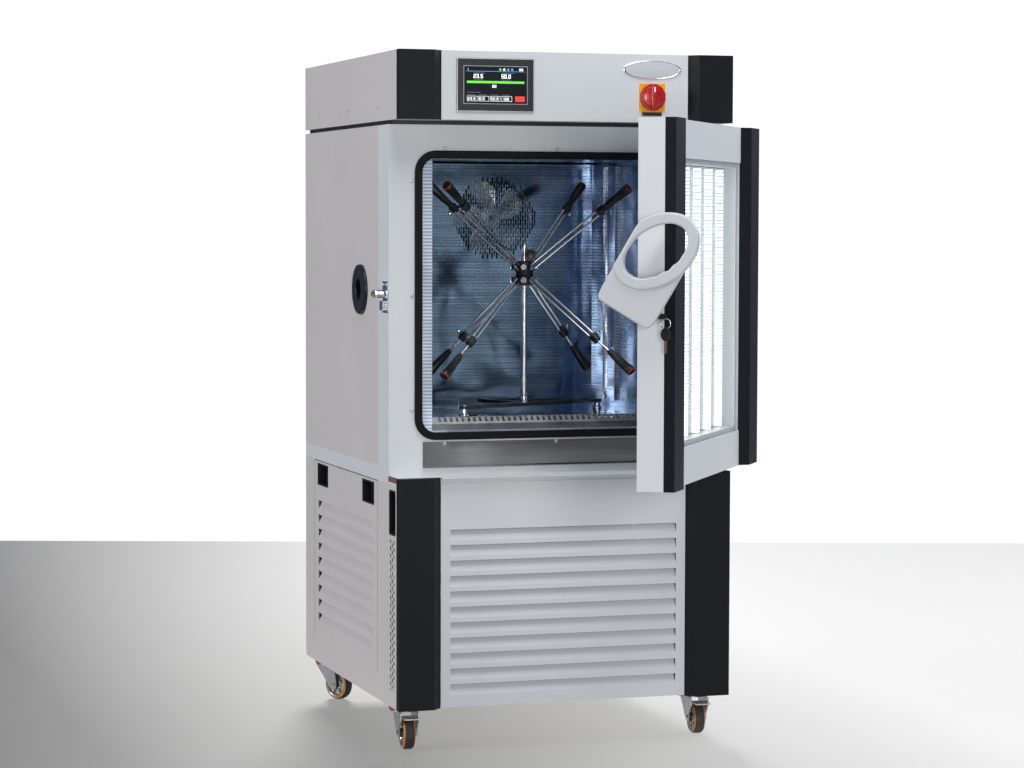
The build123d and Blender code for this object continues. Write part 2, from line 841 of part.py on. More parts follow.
def fan_rotor(centre_x, centre_z, front, back, hub_radius, tip_radius, bore, blades, twist):
    """A hub with leaning blades, on an axis along Y."""
    rod((centre_x, back, centre_z), (centre_x, front, centre_z), hub_radius)
    middle = Vector(centre_x, (front + back) / 2, centre_z)
    for blade in range(blades):
        turn = radians(360 / blades * blade)
        outward = Vector(sin(turn), 0, cos(turn))
        chord = Vector(cos(turn), 0, -sin(turn)) * cos(radians(twist)) + Vector(0, sin(radians(twist)), 0)
        root_plane = Plane(origin=middle + outward * (hub_radius - 3), x_dir=chord, z_dir=outward)
        tip_plane = Plane(origin=middle + outward * (tip_radius - 3), x_dir=chord, z_dir=outward)
        with BuildSketch(root_plane) as root:
            Rectangle(hub_radius * 1.1, sheet)
        with BuildSketch(tip_plane) as tip:
            Rectangle(tip_radius * 0.75, sheet)
        loft([root.sketch, tip.sketch])
    rod((centre_x, back + 1, centre_z), (centre_x, front - 1, centre_z), bore, Mode.SUBTRACT)


with BuildPart() as circulation_fan:
    fan_rotor(
        fan_x, fan_z, fan_front, fan_back, fan_hub_radius, fan_radius,
        fan_shaft_radius + running_fit, fan_blades, 25,
    )
keep(circulation_fan, "circulation_fan")

# Heater rings round the fan, on three posts from the back wall
with BuildPart() as heater:
    heater_front = motor_front - heater_turn_pitch
    for turn in range(heater_turns):
        ring_y = heater_front + turn * heater_turn_pitch
        with Locations(Location((fan_x, ring_y, fan_z), (90, 0, 0))):
            Torus(heater_ring_radius, heater_tube_radius)
    for post in range(3):
        angle = radians(90 + 120 * post)
        x = fan_x + heater_ring_radius * cos(angle)
        z = fan_z + heater_ring_radius * sin(angle)
        rod((x, heater_front - heater_tube_radius, z), (x, liner_back, z), heater_tube_radius - 1)
keep(heater, "heater")

# Evaporator: finned coil standing on the cavity floor behind the baffle
coil_front = baffle_front + 20
coil_back = coil_front + coil_depth
coil_top = cavity_floor + coil_height
with BuildPart() as evaporator:
    fin_step = 2 * coil_half_width / (coil_fins - 1)
    for fin in range(coil_fins):
        x = -coil_half_width + fin * fin_step
        end_plate = fin in (0, coil_fins - 1)
        bottom = cavity_floor if end_plate else cavity_floor + 20
        block((x - coil_fin_sheet / 2, x + coil_fin_sheet / 2), (coil_front, coil_back), (bottom, coil_top))
    for row in range(coil_tube_rows):
        z = cavity_floor + 50 + row * (coil_height - 80) / (coil_tube_rows - 1)
        for y in (coil_front + coil_depth / 4, coil_back - coil_depth / 4):
            rod((-coil_half_width - 15, y, z), (coil_half_width + 15, y, z), coil_tube_radius)
keep(evaporator, "evaporator")

# Shelf rails on both side walls
with BuildPart() as shelf_rails:
    rail_bottom = cavity_floor + rail_margin
    rail_height = cavity_ceiling - rail_margin - rail_bottom
    for side in (-1, 1):
        rail_face = Plane(
            origin=(side * cavity_half_width, front_y + rail_front + rail_width / 2, rail_bottom + rail_height / 2),
            x_dir=(0, -side, 0),
            z_dir=(-side, 0, 0),
        )
        with BuildSketch(rail_face) as rail:
            Rectangle(rail_width, rail_height)
            holes = int(rail_height / rail_hole_pitch)
            with GridLocations(1, rail_hole_pitch, 1, holes):
                Rectangle(rail_hole, rail_hole, mode=Mode.SUBTRACT)
            slots = int(rail_height / rail_slot_pitch)
            with Locations((rail_width / 4, 0)):
                with GridLocations(1, rail_slot_pitch, 1, slots):
                    Rectangle(rail_slot_width, rail_slot_length, mode=Mode.SUBTRACT)
        extrude(rail.sketch, amount=sheet)
        for edge in (-1, 1):
            edge_y = rail_face.origin.Y + edge * (rail_width / 2 - sheet / 2)
            edge_x = sorted((side * cavity_half_width, side * (cavity_half_width - rail_depth)))
            block(edge_x, (edge_y - sheet / 2, edge_y + sheet / 2), (rail_bottom, rail_bottom + rail_height))
keep(shelf_rails, "shelf_rails")

# Control head
with BuildPart() as neck_plinth:
    neck_x = (-half_width + neck_inset, half_width - neck_inset)
    block(neck_x, (chamber_front + neck_inset, back_y - neck_inset), (chamber_top, head_bottom))
keep(neck_plinth, "neck_plinth")

with BuildPart() as head_casing:
    casing_y = (front_y + trim_return, back_y)
    block((-half_width, half_width), casing_y, (head_bottom, head_top))
    block(
        (-half_width + sheet, half_width - sheet),
        (casing_y[0], back_y - sheet),
        (head_bottom + sheet, head_top - sheet),
        Mode.SUBTRACT,
    )
    for side in (-1, 1):
        for setback in tab_setbacks:
            tab_x = sorted((side * half_width, side * (half_width + tab_proud)))
            tab_y = front_y + setback
            block(tab_x, (tab_y - tab_width / 2, tab_y + tab_width / 2), (tab_height - tab_sheet, tab_height + tab_sheet))
            block(tab_x, (tab_y - tab_sheet, tab_y + tab_sheet), (tab_height - tab_stem, tab_height))
keep(head_casing, "head_casing")

with BuildPart() as head_front_panel:
    head_mid = (head_bottom + head_top) / 2
    head_plane = Plane(origin=(0, panel_y, head_mid), x_dir=(1, 0, 0), z_dir=(0, -1, 0))
    with BuildSketch(head_plane) as fascia:
        Rectangle(2 * panel_half_width, head_height)
        with Locations((display_x, display_z - head_mid)):
            Rectangle(screen_width + 2 * sheet, screen_height + 2 * sheet, mode=Mode.SUBTRACT)
        with Locations((switch_x, switch_z - head_mid)):
            Circle(knob_radius - 2 * sheet, mode=Mode.SUBTRACT)
    extrude(fascia.sketch, amount=-sheet)
    for level in (head_bottom, head_top - sheet):
        ledge_x = (-panel_half_width, panel_half_width)
        block(ledge_x, (panel_y, front_y + trim_return), (level, level + sheet))
    badge_plane = Plane(origin=(badge_x, panel_y, badge_z), x_dir=(1, 0, 0), z_dir=(0, -1, 0))
    with BuildSketch(badge_plane) as badge:
        Ellipse(badge_width / 2, badge_height / 2)
    extrude(badge.sketch, amount=badge_proud)
keep(head_front_panel, "head_front_panel")

with BuildPart() as display_frame:
    display_plane = Plane(origin=(display_x, panel_y, display_z), x_dir=(1, 0, 0), z_dir=(0, -1, 0))
    with BuildSketch(display_plane) as bezel:
        RectangleRounded(display_width, display_height, 4)
        Rectangle(screen_width, screen_height, mode=Mode.SUBTRACT)
    extrude(bezel.sketch, amount=display_proud)
    with BuildSketch(display_plane) as housing:
        Rectangle(screen_width + sheet, screen_height + sheet)
        Rectangle(screen_width - 2 * sheet, screen_height - 2 * sheet, mode=Mode.SUBTRACT)
    extrude(housing.sketch, amount=-display_housing_depth)
    with BuildSketch(display_plane.offset(-display_housing_depth)) as housing_back:
        Rectangle(screen_width + sheet, screen_height + sheet)
    extrude(housing_back.sketch, amount=sheet)
keep(display_frame, "display_frame")

with BuildPart() as display_screen:
    with BuildSketch(display_plane) as screen:
        Rectangle(screen_width, screen_height)
    extrude(screen.sketch, amount=display_proud - panel_gap)
keep(display_screen, "display_screen")

# Main switch: plate with the switch body behind it, label strip, and rotary knob
plate_front = panel_y - switch_plate_depth
with BuildPart() as switch_plate:
    switch_plane = Plane(origin=(switch_x, panel_y, switch_z), x_dir=(1, 0, 0), z_dir=(0, -1, 0))
    with BuildSketch(switch_plane) as plate:
        RectangleRounded(switch_plate_size, switch_plate_size, 3)
    extrude(plate.sketch, amount=switch_plate_depth)
    with BuildSketch(switch_plane) as label_plate:
        with Locations((0, -switch_plate_size / 2 - label_height / 2)):
            Rectangle(label_width, label_height)
    extrude(label_plate.sketch, amount=sheet)
    rod(
        (switch_x, panel_y, switch_z),
        (switch_x, panel_y + sheet + panel_gap, switch_z),
        knob_radius - 2 * sheet - running_gap,
    )
    body_half = switch_body_size / 2
    block(
        (switch_x - body_half, switch_x + body_half),
        (panel_y + sheet + panel_gap, panel_y + switch_body_depth),
        (switch_z - body_half, switch_z + body_half),
    )
    rod(
        (switch_x, plate_front - panel_gap, switch_z),
        (switch_x, panel_y + switch_body_depth / 2, switch_z),
        knob_shaft_radius + running_fit,
        Mode.SUBTRACT,
    )
keep(switch_plate, "switch_plate")

with BuildPart() as switch_knob:
    knob_back = plate_front - running_gap
    rod((switch_x, knob_back, switch_z), (switch_x, knob_back - knob_collar_depth, switch_z), knob_collar_radius)
    rod((switch_x, knob_back, switch_z), (switch_x, knob_back - knob_depth / 2, switch_z), knob_radius)
    block(
        (switch_x - knob_grip_width / 2, switch_x + knob_grip_width / 2),
        (knob_back - knob_depth + sheet, knob_back - knob_collar_depth),
        (switch_z - knob_collar_radius + sheet, switch_z + knob_collar_radius - sheet),
    )
    rod(
        (switch_x, knob_back, switch_z),
        (switch_x, panel_y + switch_body_depth / 2 - sheet, switch_z),
        knob_shaft_radius,
    )
keep(switch_knob, "switch_knob")

# Access port through the left wall
with BuildPart() as access_port:
    port_outer = -half_width - port_flange_depth
    port_inner = -cavity_half_width + port_inner_flange_depth
    rod((port_outer, port_axis_y, port_height), (port_inner, port_axis_y, port_height), port_hole_radius)
    rod((port_outer, port_axis_y, port_height), (-half_width, port_axis_y, port_height), port_flange_radius)
    rod(
        (-cavity_half_width, port_axis_y, port_height),
        (port_inner, port_axis_y, port_height),
        port_inner_flange_radius,
    )
    rod(
        (port_outer - sheet, port_axis_y, port_height),
        (port_inner + sheet, port_axis_y, port_height),
        port_bore_radius,
        Mode.SUBTRACT,
    )
    outer_rim = access_port.edges().filter_by(GeomType.CIRCLE).sort_by(Axis.X)[0:2]
    fillet(outer_rim.sort_by(SortBy.RADIUS)[-1], 3)
keep(access_port, "access_port")

# Striker on the left side, which the handle's finger hooks behind
striker_y = front_y + striker_setback
with BuildPart() as striker:
    plate_x = (-half_width - striker_plate_sheet, -half_width)
    plate_z = (striker_height - striker_plate_height * 0.6, striker_height + striker_plate_height * 0.4)
    block(plate_x, (striker_y - striker_plate_width / 2, striker_y + striker_plate_width / 2), plate_z)
    tip_x = -half_width - striker_reach
    rod((-half_width, striker_y, striker_height), (tip_x + 6, striker_y, striker_height), striker_pin_radius)
    cone(
        (tip_x + 6, striker_y, striker_height), (tip_x, striker_y, striker_height), striker_pin_radius, striker_pin_radius / 2
    )
    lug_x = (-half_width - striker_lug_reach, -half_width)
    lug_top = striker_height - striker_pin_radius - 6
    block(
        lug_x,
        (striker_y - striker_lug_size / 2, striker_y + striker_lug_size / 2),
        (lug_top - striker_lug_size, lug_top),
    )
keep(striker, "striker")

# Hinges: cabinet leaves with their pins, and the door's leaves between them
hinge_y = front_y + door_hinge_setback
knuckle = hinge_length / 3


def knuckle_bar(bottom, top, bore):
    """One barrel of a hinge, open for its pin where bore is set."""
    rod((door_hinge_x, hinge_y, bottom), (door_hinge_x, hinge_y, top), hinge_knuckle_radius)
    if bore:
        rod((door_hinge_x, hinge_y, bottom - 1), (door_hinge_x, hinge_y, top + 1), bore, Mode.SUBTRACT)


with BuildPart() as cabinet_hinges:
    for bottom in hinge_bottoms:
        leaf_x = (half_width, half_width + hinge_leaf_sheet)
        for start in (bottom, bottom + 2 * knuckle + running_gap):
            stop = start + knuckle - running_gap
            block(leaf_x, (hinge_y, hinge_y + hinge_leaf_length), (start, stop))
            block((half_width, door_hinge_x), (hinge_y, hinge_y + hinge_knuckle_radius), (start, stop))
            knuckle_bar(start, stop, 0)
        block(
            leaf_x,
            (hinge_y + hinge_knuckle_radius * 2, hinge_y + hinge_leaf_length),
            (bottom, bottom + hinge_length),
        )
        rod((door_hinge_x, hinge_y, bottom), (door_hinge_x, hinge_y, bottom + hinge_length), hinge_pin_radius)
keep(cabinet_hinges, "cabinet_hinges")

with BuildPart() as door_hinges:
    for bottom in hinge_bottoms:
        start = bottom + knuckle + running_gap
        stop = bottom + 2 * knuckle - running_gap
        leaf_x = (half_width, half_width + hinge_leaf_sheet)
        block(leaf_x, (door_back - hinge_leaf_length, door_back), (start, stop))
        block((half_width, door_hinge_x), (door_back - 4, hinge_y), (start, stop))
        knuckle_bar(start, stop, hinge_pin_radius + running_fit)
keep_on_door(door_hinges, "door_hinges")

# Door, drawn closed
window_half_width = trim_inner_x - window_rebate
window_bottom = chamber_bottom + door_rail
window_top = door_top - door_rail
with BuildPart() as door_shell:
    shell_x = (-half_width, half_width)
    block(shell_x, (front_y + trim_return, door_back), (chamber_bottom, door_top))
    rail_x = (-panel_half_width, panel_half_width)
    block(rail_x, (panel_y, front_y + trim_return), (chamber_bottom, window_bottom))
    block(rail_x, (panel_y, front_y + trim_return), (window_top, door_top))
    block(
        (-trim_inner_x, trim_inner_x),
        (front_y + trim_return, front_y + trim_return + glass_sheet),
        (window_bottom - window_rebate, window_top + window_rebate),
        Mode.SUBTRACT,
    )
    block(
        (-window_half_width, window_half_width),
        (panel_y, door_back),
        (window_bottom + window_rebate, window_top - window_rebate),
        Mode.SUBTRACT,
    )
    inner_plane = Plane(origin=(0, door_back, (window_bottom + window_top) / 2), x_dir=(-1, 0, 0), z_dir=(0, 1, 0))
    inner_width = 2 * (window_half_width + inner_frame_band)
    inner_height = window_top - window_bottom - 2 * window_rebate + 2 * inner_frame_band
    with BuildSketch(inner_plane) as pocket:
        RectangleRounded(inner_width, inner_height, gasket_corner)
    extrude(pocket.sketch, amount=-inner_frame_depth, mode=Mode.SUBTRACT)
keep_on_door(door_shell, "door_shell")

with BuildPart() as door_trims:
    for side in (-1, 1):
        corner_trim(side, chamber_bottom, door_top)
keep_on_door(door_trims, "door_trims")

with BuildPart() as door_glass:
    outer_pane_y = (front_y + trim_return, front_y + trim_return + glass_sheet)
    pane_x = (-trim_inner_x + panel_gap, trim_inner_x - panel_gap)
    block(
        pane_x, outer_pane_y, (window_bottom - window_rebate + panel_gap, window_top + window_rebate - panel_gap)
    )
    inner_pane_y = (door_back - inner_frame_depth - glass_sheet, door_back - inner_frame_depth)
    block(
        (-window_half_width, window_half_width),
        inner_pane_y,
        (window_bottom + window_rebate, window_top - window_rebate),
    )
keep_on_door(door_glass, "door_glass")

with BuildPart() as led_strips:
    for strip_index in range(led_strips_count):
        x = led_strip_pitch * (strip_index - (led_strips_count - 1) / 2)
        block(
            (x - led_strip_width / 2, x + led_strip_width / 2),
            (front_y + led_setback, front_y + led_setback + led_strip_depth),
            (window_bottom + window_rebate, window_top - window_rebate),
        )
keep_on_door(led_strips, "led_strips")

with BuildPart() as door_inner_frame:
    with BuildSketch(inner_plane) as ring:
        RectangleRounded(inner_width, inner_height, gasket_corner)
        RectangleRounded(
            inner_width - 2 * inner_frame_band - 2 * window_rebate,
            inner_height - 2 * inner_frame_band - 2 * window_rebate,
            gasket_corner - inner_frame_band,
            mode=Mode.SUBTRACT,
        )
    extrude(ring.sketch, amount=-inner_frame_depth)
keep_on_door(door_inner_frame, "door_inner_frame")

# Latch on the door's free side
pivot_y = front_y + handle_pivot_setback
handle_back = door_side - handle_standoff
ring_y = front_y + handle_ring_setback
tilt = radians(handle_tilt)
handle_plane = Plane(
    origin=(handle_back, ring_y, handle_ring_height), x_dir=(0, -cos(tilt), -sin(tilt)), z_dir=(-1, 0, 0)
)
lock_x = door_side - lock_standoff

with BuildPart() as door_lock:
    rod(
        (door_side, pivot_y, striker_height),
        (handle_back + running_gap, pivot_y, striker_height),
        handle_boss_radius,
    )
    rod(
        (door_side - 6, pivot_y, striker_height),
        (handle_back - 1, pivot_y, striker_height),
        handle_spindle_radius + running_fit,
        Mode.SUBTRACT,
    )
    block(
        (lock_x - lock_radius, door_side),
        (front_y + lock_front + 6, front_y + lock_back),
        (lock_height - lock_radius, striker_height - handle_spindle_radius - 4),
    )
    rod((lock_x, front_y + lock_back, lock_height), (lock_x, front_y + lock_front, lock_height), lock_radius)
    rod(
        (lock_x, front_y + lock_back - 6, lock_height),
        (lock_x, front_y + lock_front - 1, lock_height),
        key_shank_radius + running_fit,
        Mode.SUBTRACT,
    )
keep_on_door(door_lock, "door_lock")

with BuildPart() as handle:
    ring_turn = 90 - handle_ring_lean
    with BuildSketch(handle_plane) as paddle:
        Ellipse(handle_ring_half_length, handle_ring_half_width, rotation=ring_turn)
        with Locations((handle_tail_shift, -handle_tail / 2)):
            Rectangle(handle_width, handle_tail)
        with Locations((handle_tail_shift - handle_width, 0)):
            Rectangle(handle_width, 2 * handle_tail + handle_width, mode=Mode.SUBTRACT)
        bottom_corners = paddle.vertices().sort_by(Axis.Y)[0:2]
        fillet(bottom_corners, handle_corner)
        with Locations(handle_grip_shift):
            Ellipse(handle_grip_half_length, handle_grip_half_width, rotation=ring_turn, mode=Mode.SUBTRACT)
    extrude(paddle.sketch, amount=handle_plate_depth)
    with BuildSketch(handle_plane.offset(handle_plate_depth)) as raised:
        Ellipse(handle_ring_half_length, handle_ring_half_width, rotation=ring_turn)
        with Locations((handle_tail_shift - handle_width, 0)):
            Rectangle(handle_width, 2 * handle_tail + handle_width, mode=Mode.SUBTRACT)
        with Locations(handle_grip_shift):
            Ellipse(handle_grip_half_length, handle_grip_half_width, rotation=ring_turn, mode=Mode.SUBTRACT)
    extrude(raised.sketch, amount=handle_ring_depth - handle_plate_depth)
    rod(
        (handle_back, pivot_y, striker_height),
        (door_side - 6 - running_gap, pivot_y, striker_height),
        handle_spindle_radius,
    )
    finger_plane = Plane(origin=(handle_back, pivot_y, striker_height), x_dir=(0, 1, 0), z_dir=(1, 0, 0))
    finger_start = handle_tilt - 3
    with BuildSketch(finger_plane) as finger:
        with BuildLine():
            near = CenterArc((0, 0), finger_radius, finger_start, finger_sweep)
            far = CenterArc((0, 0), finger_radius + finger_width, finger_start, finger_sweep)
            Line(near @ 0, far @ 0)
            Line(near @ 1, far @ 1)
        make_face()
    extrude(finger.sketch, amount=finger_reach)
keep_on_door(handle, "handle")

# Key in the lock, with its ring and the spare key that hangs from it
with BuildPart() as lock_key:
    bow_back = front_y + lock_front - running_gap
    bow_front = bow_back - key_bow_length
    rod(
        (lock_x, front_y + lock_back - 6 - running_gap, lock_height),
        (lock_x, bow_back, lock_height),
        key_shank_radius,
    )
    block(
        (lock_x - key_bow_sheet / 2, lock_x + key_bow_sheet / 2),
        (bow_front, bow_back),
        (lock_height - key_bow_width / 2, lock_height + key_bow_width / 2),
    )
    ring_centre_z = lock_height - key_bow_width / 2 - key_ring_radius + 3
    ring_centre_y = bow_front + 3
    with Locations(Location((lock_x, ring_centre_y, ring_centre_z), (0, 90, 0))):
        Torus(key_ring_radius, key_ring_wire)
    spare_top = ring_centre_z - key_ring_radius + 3
    spare_plane = Plane(origin=(lock_x, ring_centre_y, spare_top - spare_bow_length / 2), x_dir=(0, 1, 0), z_dir=(1, 0, 0))
    with BuildSketch(spare_plane.offset(-key_bow_sheet / 2)) as spare_bow:
        Ellipse(spare_bow_width / 2, spare_bow_length / 2)
    extrude(spare_bow.sketch, amount=key_bow_sheet)
    blade_top = spare_top - spare_bow_length + 1
    block(
        (lock_x - spare_blade_sheet / 2, lock_x + spare_blade_sheet / 2),
        (ring_centre_y - spare_blade_width / 2, ring_centre_y + spare_blade_width / 2),
        (blade_top - spare_blade_length, blade_top),
    )
keep_on_door(lock_key, "lock_key")

# Castors
castor_spots = {
    "front_left": (-half_width + castor_inset_x, front_y + castor_front_setback),
    "front_right": (half_width - castor_inset_x, front_y + castor_front_setback),
    "rear_left": (-half_width + castor_inset_x, front_y + castor_rear_setback),
    "rear_right": (half_width - castor_inset_x, front_y + castor_rear_setback),
}
plate_bottom = castor_height - castor_plate_sheet
race_bottom = plate_bottom - swivel_race_height
crown_top = race_bottom - running_gap
crown_bottom = crown_top - fork_crown_sheet

with BuildPart() as castor_plates:
    for x, y in castor_spots.values():
        block(
            (x - castor_plate_width / 2, x + castor_plate_width / 2),
            (y - castor_plate_length / 2, y + castor_plate_length / 2),
            (plate_bottom, castor_height),
        )
        rod((x, y, plate_bottom), (x, y, race_bottom), swivel_race_radius)
        rod((x, y, race_bottom - 1), (x, y, castor_height - 1), swivel_pin_radius + running_fit, Mode.SUBTRACT)
keep(castor_plates, "castor_plates")


def castor_point(spot, heading, along, across, height):
    """A point given along and across a castor's trail, as X, Y, Z."""
    angle = radians(heading)
    x = spot[0] + along * cos(angle) - across * sin(angle)
    y = spot[1] + along * sin(angle) + across * cos(angle)
    return (x, y, height)


leg_middle = wheel_width / 2 + fork_leg_gap + fork_leg_sheet / 2

for name, spot in castor_spots.items():
    heading = castor_headings[name]
    braked = name.startswith("front")

    with BuildPart() as fork:
        crown_reach = pedal_pivot_reach if braked else castor_trail
        rod((*spot, crown_top), (*spot, crown_bottom), swivel_race_radius)
        rod((*spot, crown_bottom), (*spot, castor_height - 2), swivel_pin_radius)
        for across in (-leg_middle, leg_middle):
            origin = castor_point(spot, heading, 0, across - fork_leg_sheet / 2, 0)
            angle = radians(heading)
            leg_plane = Plane(origin=origin, x_dir=(cos(angle), sin(angle), 0), z_dir=(sin(angle), -cos(angle), 0))
            with BuildSketch(leg_plane) as leg:
                Polygon(
                    (-swivel_race_radius * 0.6, crown_top),
                    (-swivel_race_radius * 0.6, crown_bottom - 6),
                    (castor_trail - 9, wheel_radius - 9),
                    (castor_trail + 9, wheel_radius - 9),
                    (castor_trail + 12, wheel_radius + 8),
                    (crown_reach + 6, pedal_pivot_height - 8),
                    (crown_reach + 6, crown_top),
                    align=None,
                )
            extrude(leg.sketch, amount=-fork_leg_sheet)
        bridge = Location(
            castor_point(spot, heading, 0, 0, (crown_top + crown_bottom) / 2), (0, 0, heading)
        )
        with Locations(bridge):
            Box(1.2 * swivel_race_radius, 2 * leg_middle + fork_leg_sheet, fork_crown_sheet)
        rod(
            castor_point(spot, heading, castor_trail, -leg_middle - fork_leg_sheet, wheel_radius),
            castor_point(spot, heading, castor_trail, leg_middle + fork_leg_sheet, wheel_radius),
            axle_radius,
        )
        if braked:
            rod(
                castor_point(spot, heading, pedal_pivot_reach, -leg_middle, pedal_pivot_height),
                castor_point(spot, heading, pedal_pivot_reach, leg_middle, pedal_pivot_height),
                sheet,
            )
    keep(fork, f"castor_fork_{name}")

    with BuildPart() as wheel:
        for half, radius in ((wheel_width / 2, wheel_radius), (wheel_width / 2 + fork_leg_gap - 0.5, wheel_hub_radius)):
            rod(
                castor_point(spot, heading, castor_trail, -half, wheel_radius),
                castor_point(spot, heading, castor_trail, half, wheel_radius),
                radius,
            )
        rims = wheel.edges().filter_by(GeomType.CIRCLE).sort_by(SortBy.RADIUS)[-2:]
        fillet(rims, 5)
        rod(
            castor_point(spot, heading, castor_trail, -wheel_width, wheel_radius),
            castor_point(spot, heading, castor_trail, wheel_width, wheel_radius),
            axle_radius + running_fit,
            Mode.SUBTRACT,
        )
    keep(wheel, f"castor_wheel_{name}")

    if braked:
        with BuildPart() as pedal:
            rod(
                castor_point(spot, heading, pedal_pivot_reach, -pedal_width / 2, pedal_pivot_height),
                castor_point(spot, heading, pedal_pivot_reach, pedal_width / 2, pedal_pivot_height),
                sheet + 2,
            )
            plate_centre = castor_point(spot, heading, pedal_pivot_reach + pedal_length / 2, 0, pedal_pivot_height)
            with Locations(Location(plate_centre, (0, 0, heading))):
                Box(pedal_length, pedal_width, pedal_sheet)
            rod(
                castor_point(spot, heading, pedal_pivot_reach, -pedal_width, pedal_pivot_height),
                castor_point(spot, heading, pedal_pivot_reach, pedal_width, pedal_pivot_height),
                sheet + running_fit,
                Mode.SUBTRACT,
            )
        keep(pedal, f"brake_pedal_{name}")

# Condenser behind the front grille, with its fan shroud and motor
condenser_bottom = castor_height + tray_sheet
condenser_front = front_y + condenser_setback
condenser_back = condenser_front + condenser_depth
shroud_back = condenser_back + shroud_depth
condenser_mid_z = condenser_bottom + 20 + condenser_height / 2
condenser_left = condenser_x - condenser_width / 2
fan_seat = condenser_back + 15
with BuildPart() as condenser:
    fin_step = (condenser_width - condenser_fin_sheet) / (condenser_fins - 1)
    for fin in range(condenser_fins):
        x = condenser_left + fin * fin_step
        end_plate = fin in (0, condenser_fins - 1)
        bottom = condenser_bottom if end_plate else condenser_bottom + 20
        block((x, x + condenser_fin_sheet), (condenser_front, condenser_back), (bottom, condenser_bottom + 20 + condenser_height))
    for row in range(condenser_tube_rows):
        z = condenser_bottom + 50 + row * (condenser_height - 60) / (condenser_tube_rows - 1)
        rod(
            (condenser_left - 12, condenser_front + condenser_depth / 2, z),
            (condenser_left + condenser_width + 12, condenser_front + condenser_depth / 2, z),
            coil_tube_radius,
        )
    shroud_plane = Plane(origin=(condenser_x, condenser_back, condenser_mid_z), x_dir=(1, 0, 0), z_dir=(0, 1, 0))
    with BuildSketch(shroud_plane) as shroud:
        Rectangle(condenser_width, condenser_height)
        Circle(condenser_fan_radius + 8, mode=Mode.SUBTRACT)
    extrude(shroud.sketch, amount=sheet)
    with BuildSketch(shroud_plane.offset(sheet)) as collar:
        Circle(condenser_fan_radius + 10)
        Circle(condenser_fan_radius + 8, mode=Mode.SUBTRACT)
    extrude(collar.sketch, amount=shroud_depth - sheet)
    arm_y = (shroud_back - sheet, shroud_back)
    reach = condenser_fan_radius + 9
    block((condenser_x - reach, condenser_x + reach), arm_y, (condenser_mid_z - 8, condenser_mid_z + 8))
    rod(
        (condenser_x, shroud_back - condenser_motor_length / 3, condenser_mid_z),
        (condenser_x, shroud_back + condenser_motor_length, condenser_mid_z),
        condenser_motor_radius,
    )
    rod(
        (condenser_x, fan_seat - 5, condenser_mid_z),
        (condenser_x, shroud_back, condenser_mid_z),
        fan_shaft_radius,
    )
keep(condenser, "condenser")

with BuildPart() as condenser_fan:
    fan_rotor(
        condenser_x, condenser_mid_z, fan_seat, fan_seat + condenser_fan_depth, condenser_fan_hub,
        condenser_fan_radius, fan_shaft_radius + running_fit, 5, 22,
    )
keep(condenser_fan, "condenser_fan")

with BuildPart() as compressor:
    foot_z = castor_height + tray_sheet
    spot = (compressor_x, front_y + compressor_setback)
    block(
        (spot[0] - compressor_radius, spot[0] + compressor_radius),
        (spot[1] - compressor_radius, spot[1] + compressor_radius),
        (foot_z + compressor_foot, foot_z + compressor_foot + tray_sheet),
    )
    for x in (-1, 1):
        for y in (-1, 1):
            foot = (spot[0] + x * compressor_radius * 0.85, spot[1] + y * compressor_radius * 0.85)
            rod((*foot, foot_z), (*foot, foot_z + compressor_foot), compressor_foot)
    rod((*spot, foot_z + compressor_foot), (*spot, foot_z + compressor_height), compressor_radius * 0.9)
    dome = compressor.edges().filter_by(GeomType.CIRCLE).sort_by(Axis.Z)[-1]
    fillet(dome, compressor_radius * 0.4)
keep(compressor, "compressor")

with BuildPart() as control_box:
    box_y = front_y + control_box_setback
    block(
        (-control_box_width / 2, control_box_width / 2),
        (box_y, box_y + control_box_depth),
        (head_bottom + sheet, head_bottom + sheet + control_box_height),
    )
keep(control_box, "control_box")

# Sensor stand on the cavity floor
pole_y = front_y + pole_setback
plate_z = cavity_floor + stand_foot_height
with BuildPart() as sensor_stand:
    foot_points = []
    for heading in stand_foot_headings:
        foot_x = pole_x + stand_foot_reach * cos(radians(heading))
        foot_points.append((foot_x, pole_y + stand_foot_reach * sin(radians(heading))))
    with BuildSketch(Plane.XY.offset(plate_z)) as stand_plate:
        Polygon(*foot_points, align=None)
        offset(amount=stand_foot_radius, kind=Kind.ARC)
    extrude(stand_plate.sketch, amount=stand_plate_sheet)
    for foot in foot_points:
        rod((*foot, cavity_floor), (*foot, plate_z), stand_foot_radius)
    rod((pole_x, pole_y, plate_z), (pole_x, pole_y, pole_top), pole_radius)
    hub_top = stand_hub_bottom + stand_hub_height
    rod((pole_x, pole_y, stand_hub_bottom), (pole_x, pole_y, hub_top), stand_hub_radius)
keep(sensor_stand, "sensor_stand")

hub_centre = Vector(pole_x, pole_y, stand_hub_bottom + stand_hub_height / 2)


def arm_line(end):
    """Start, direction and length of the arm that ends at a given point."""
    tip = Vector(end[0], front_y + end[1], end[2])
    run = tip - hub_centre
    start_reach = stand_hub_radius / hypot(run.X, run.Y) * run.length
    return hub_centre + run.normalized() * (start_reach - 4), run.normalized(), run.length - start_reach + 4


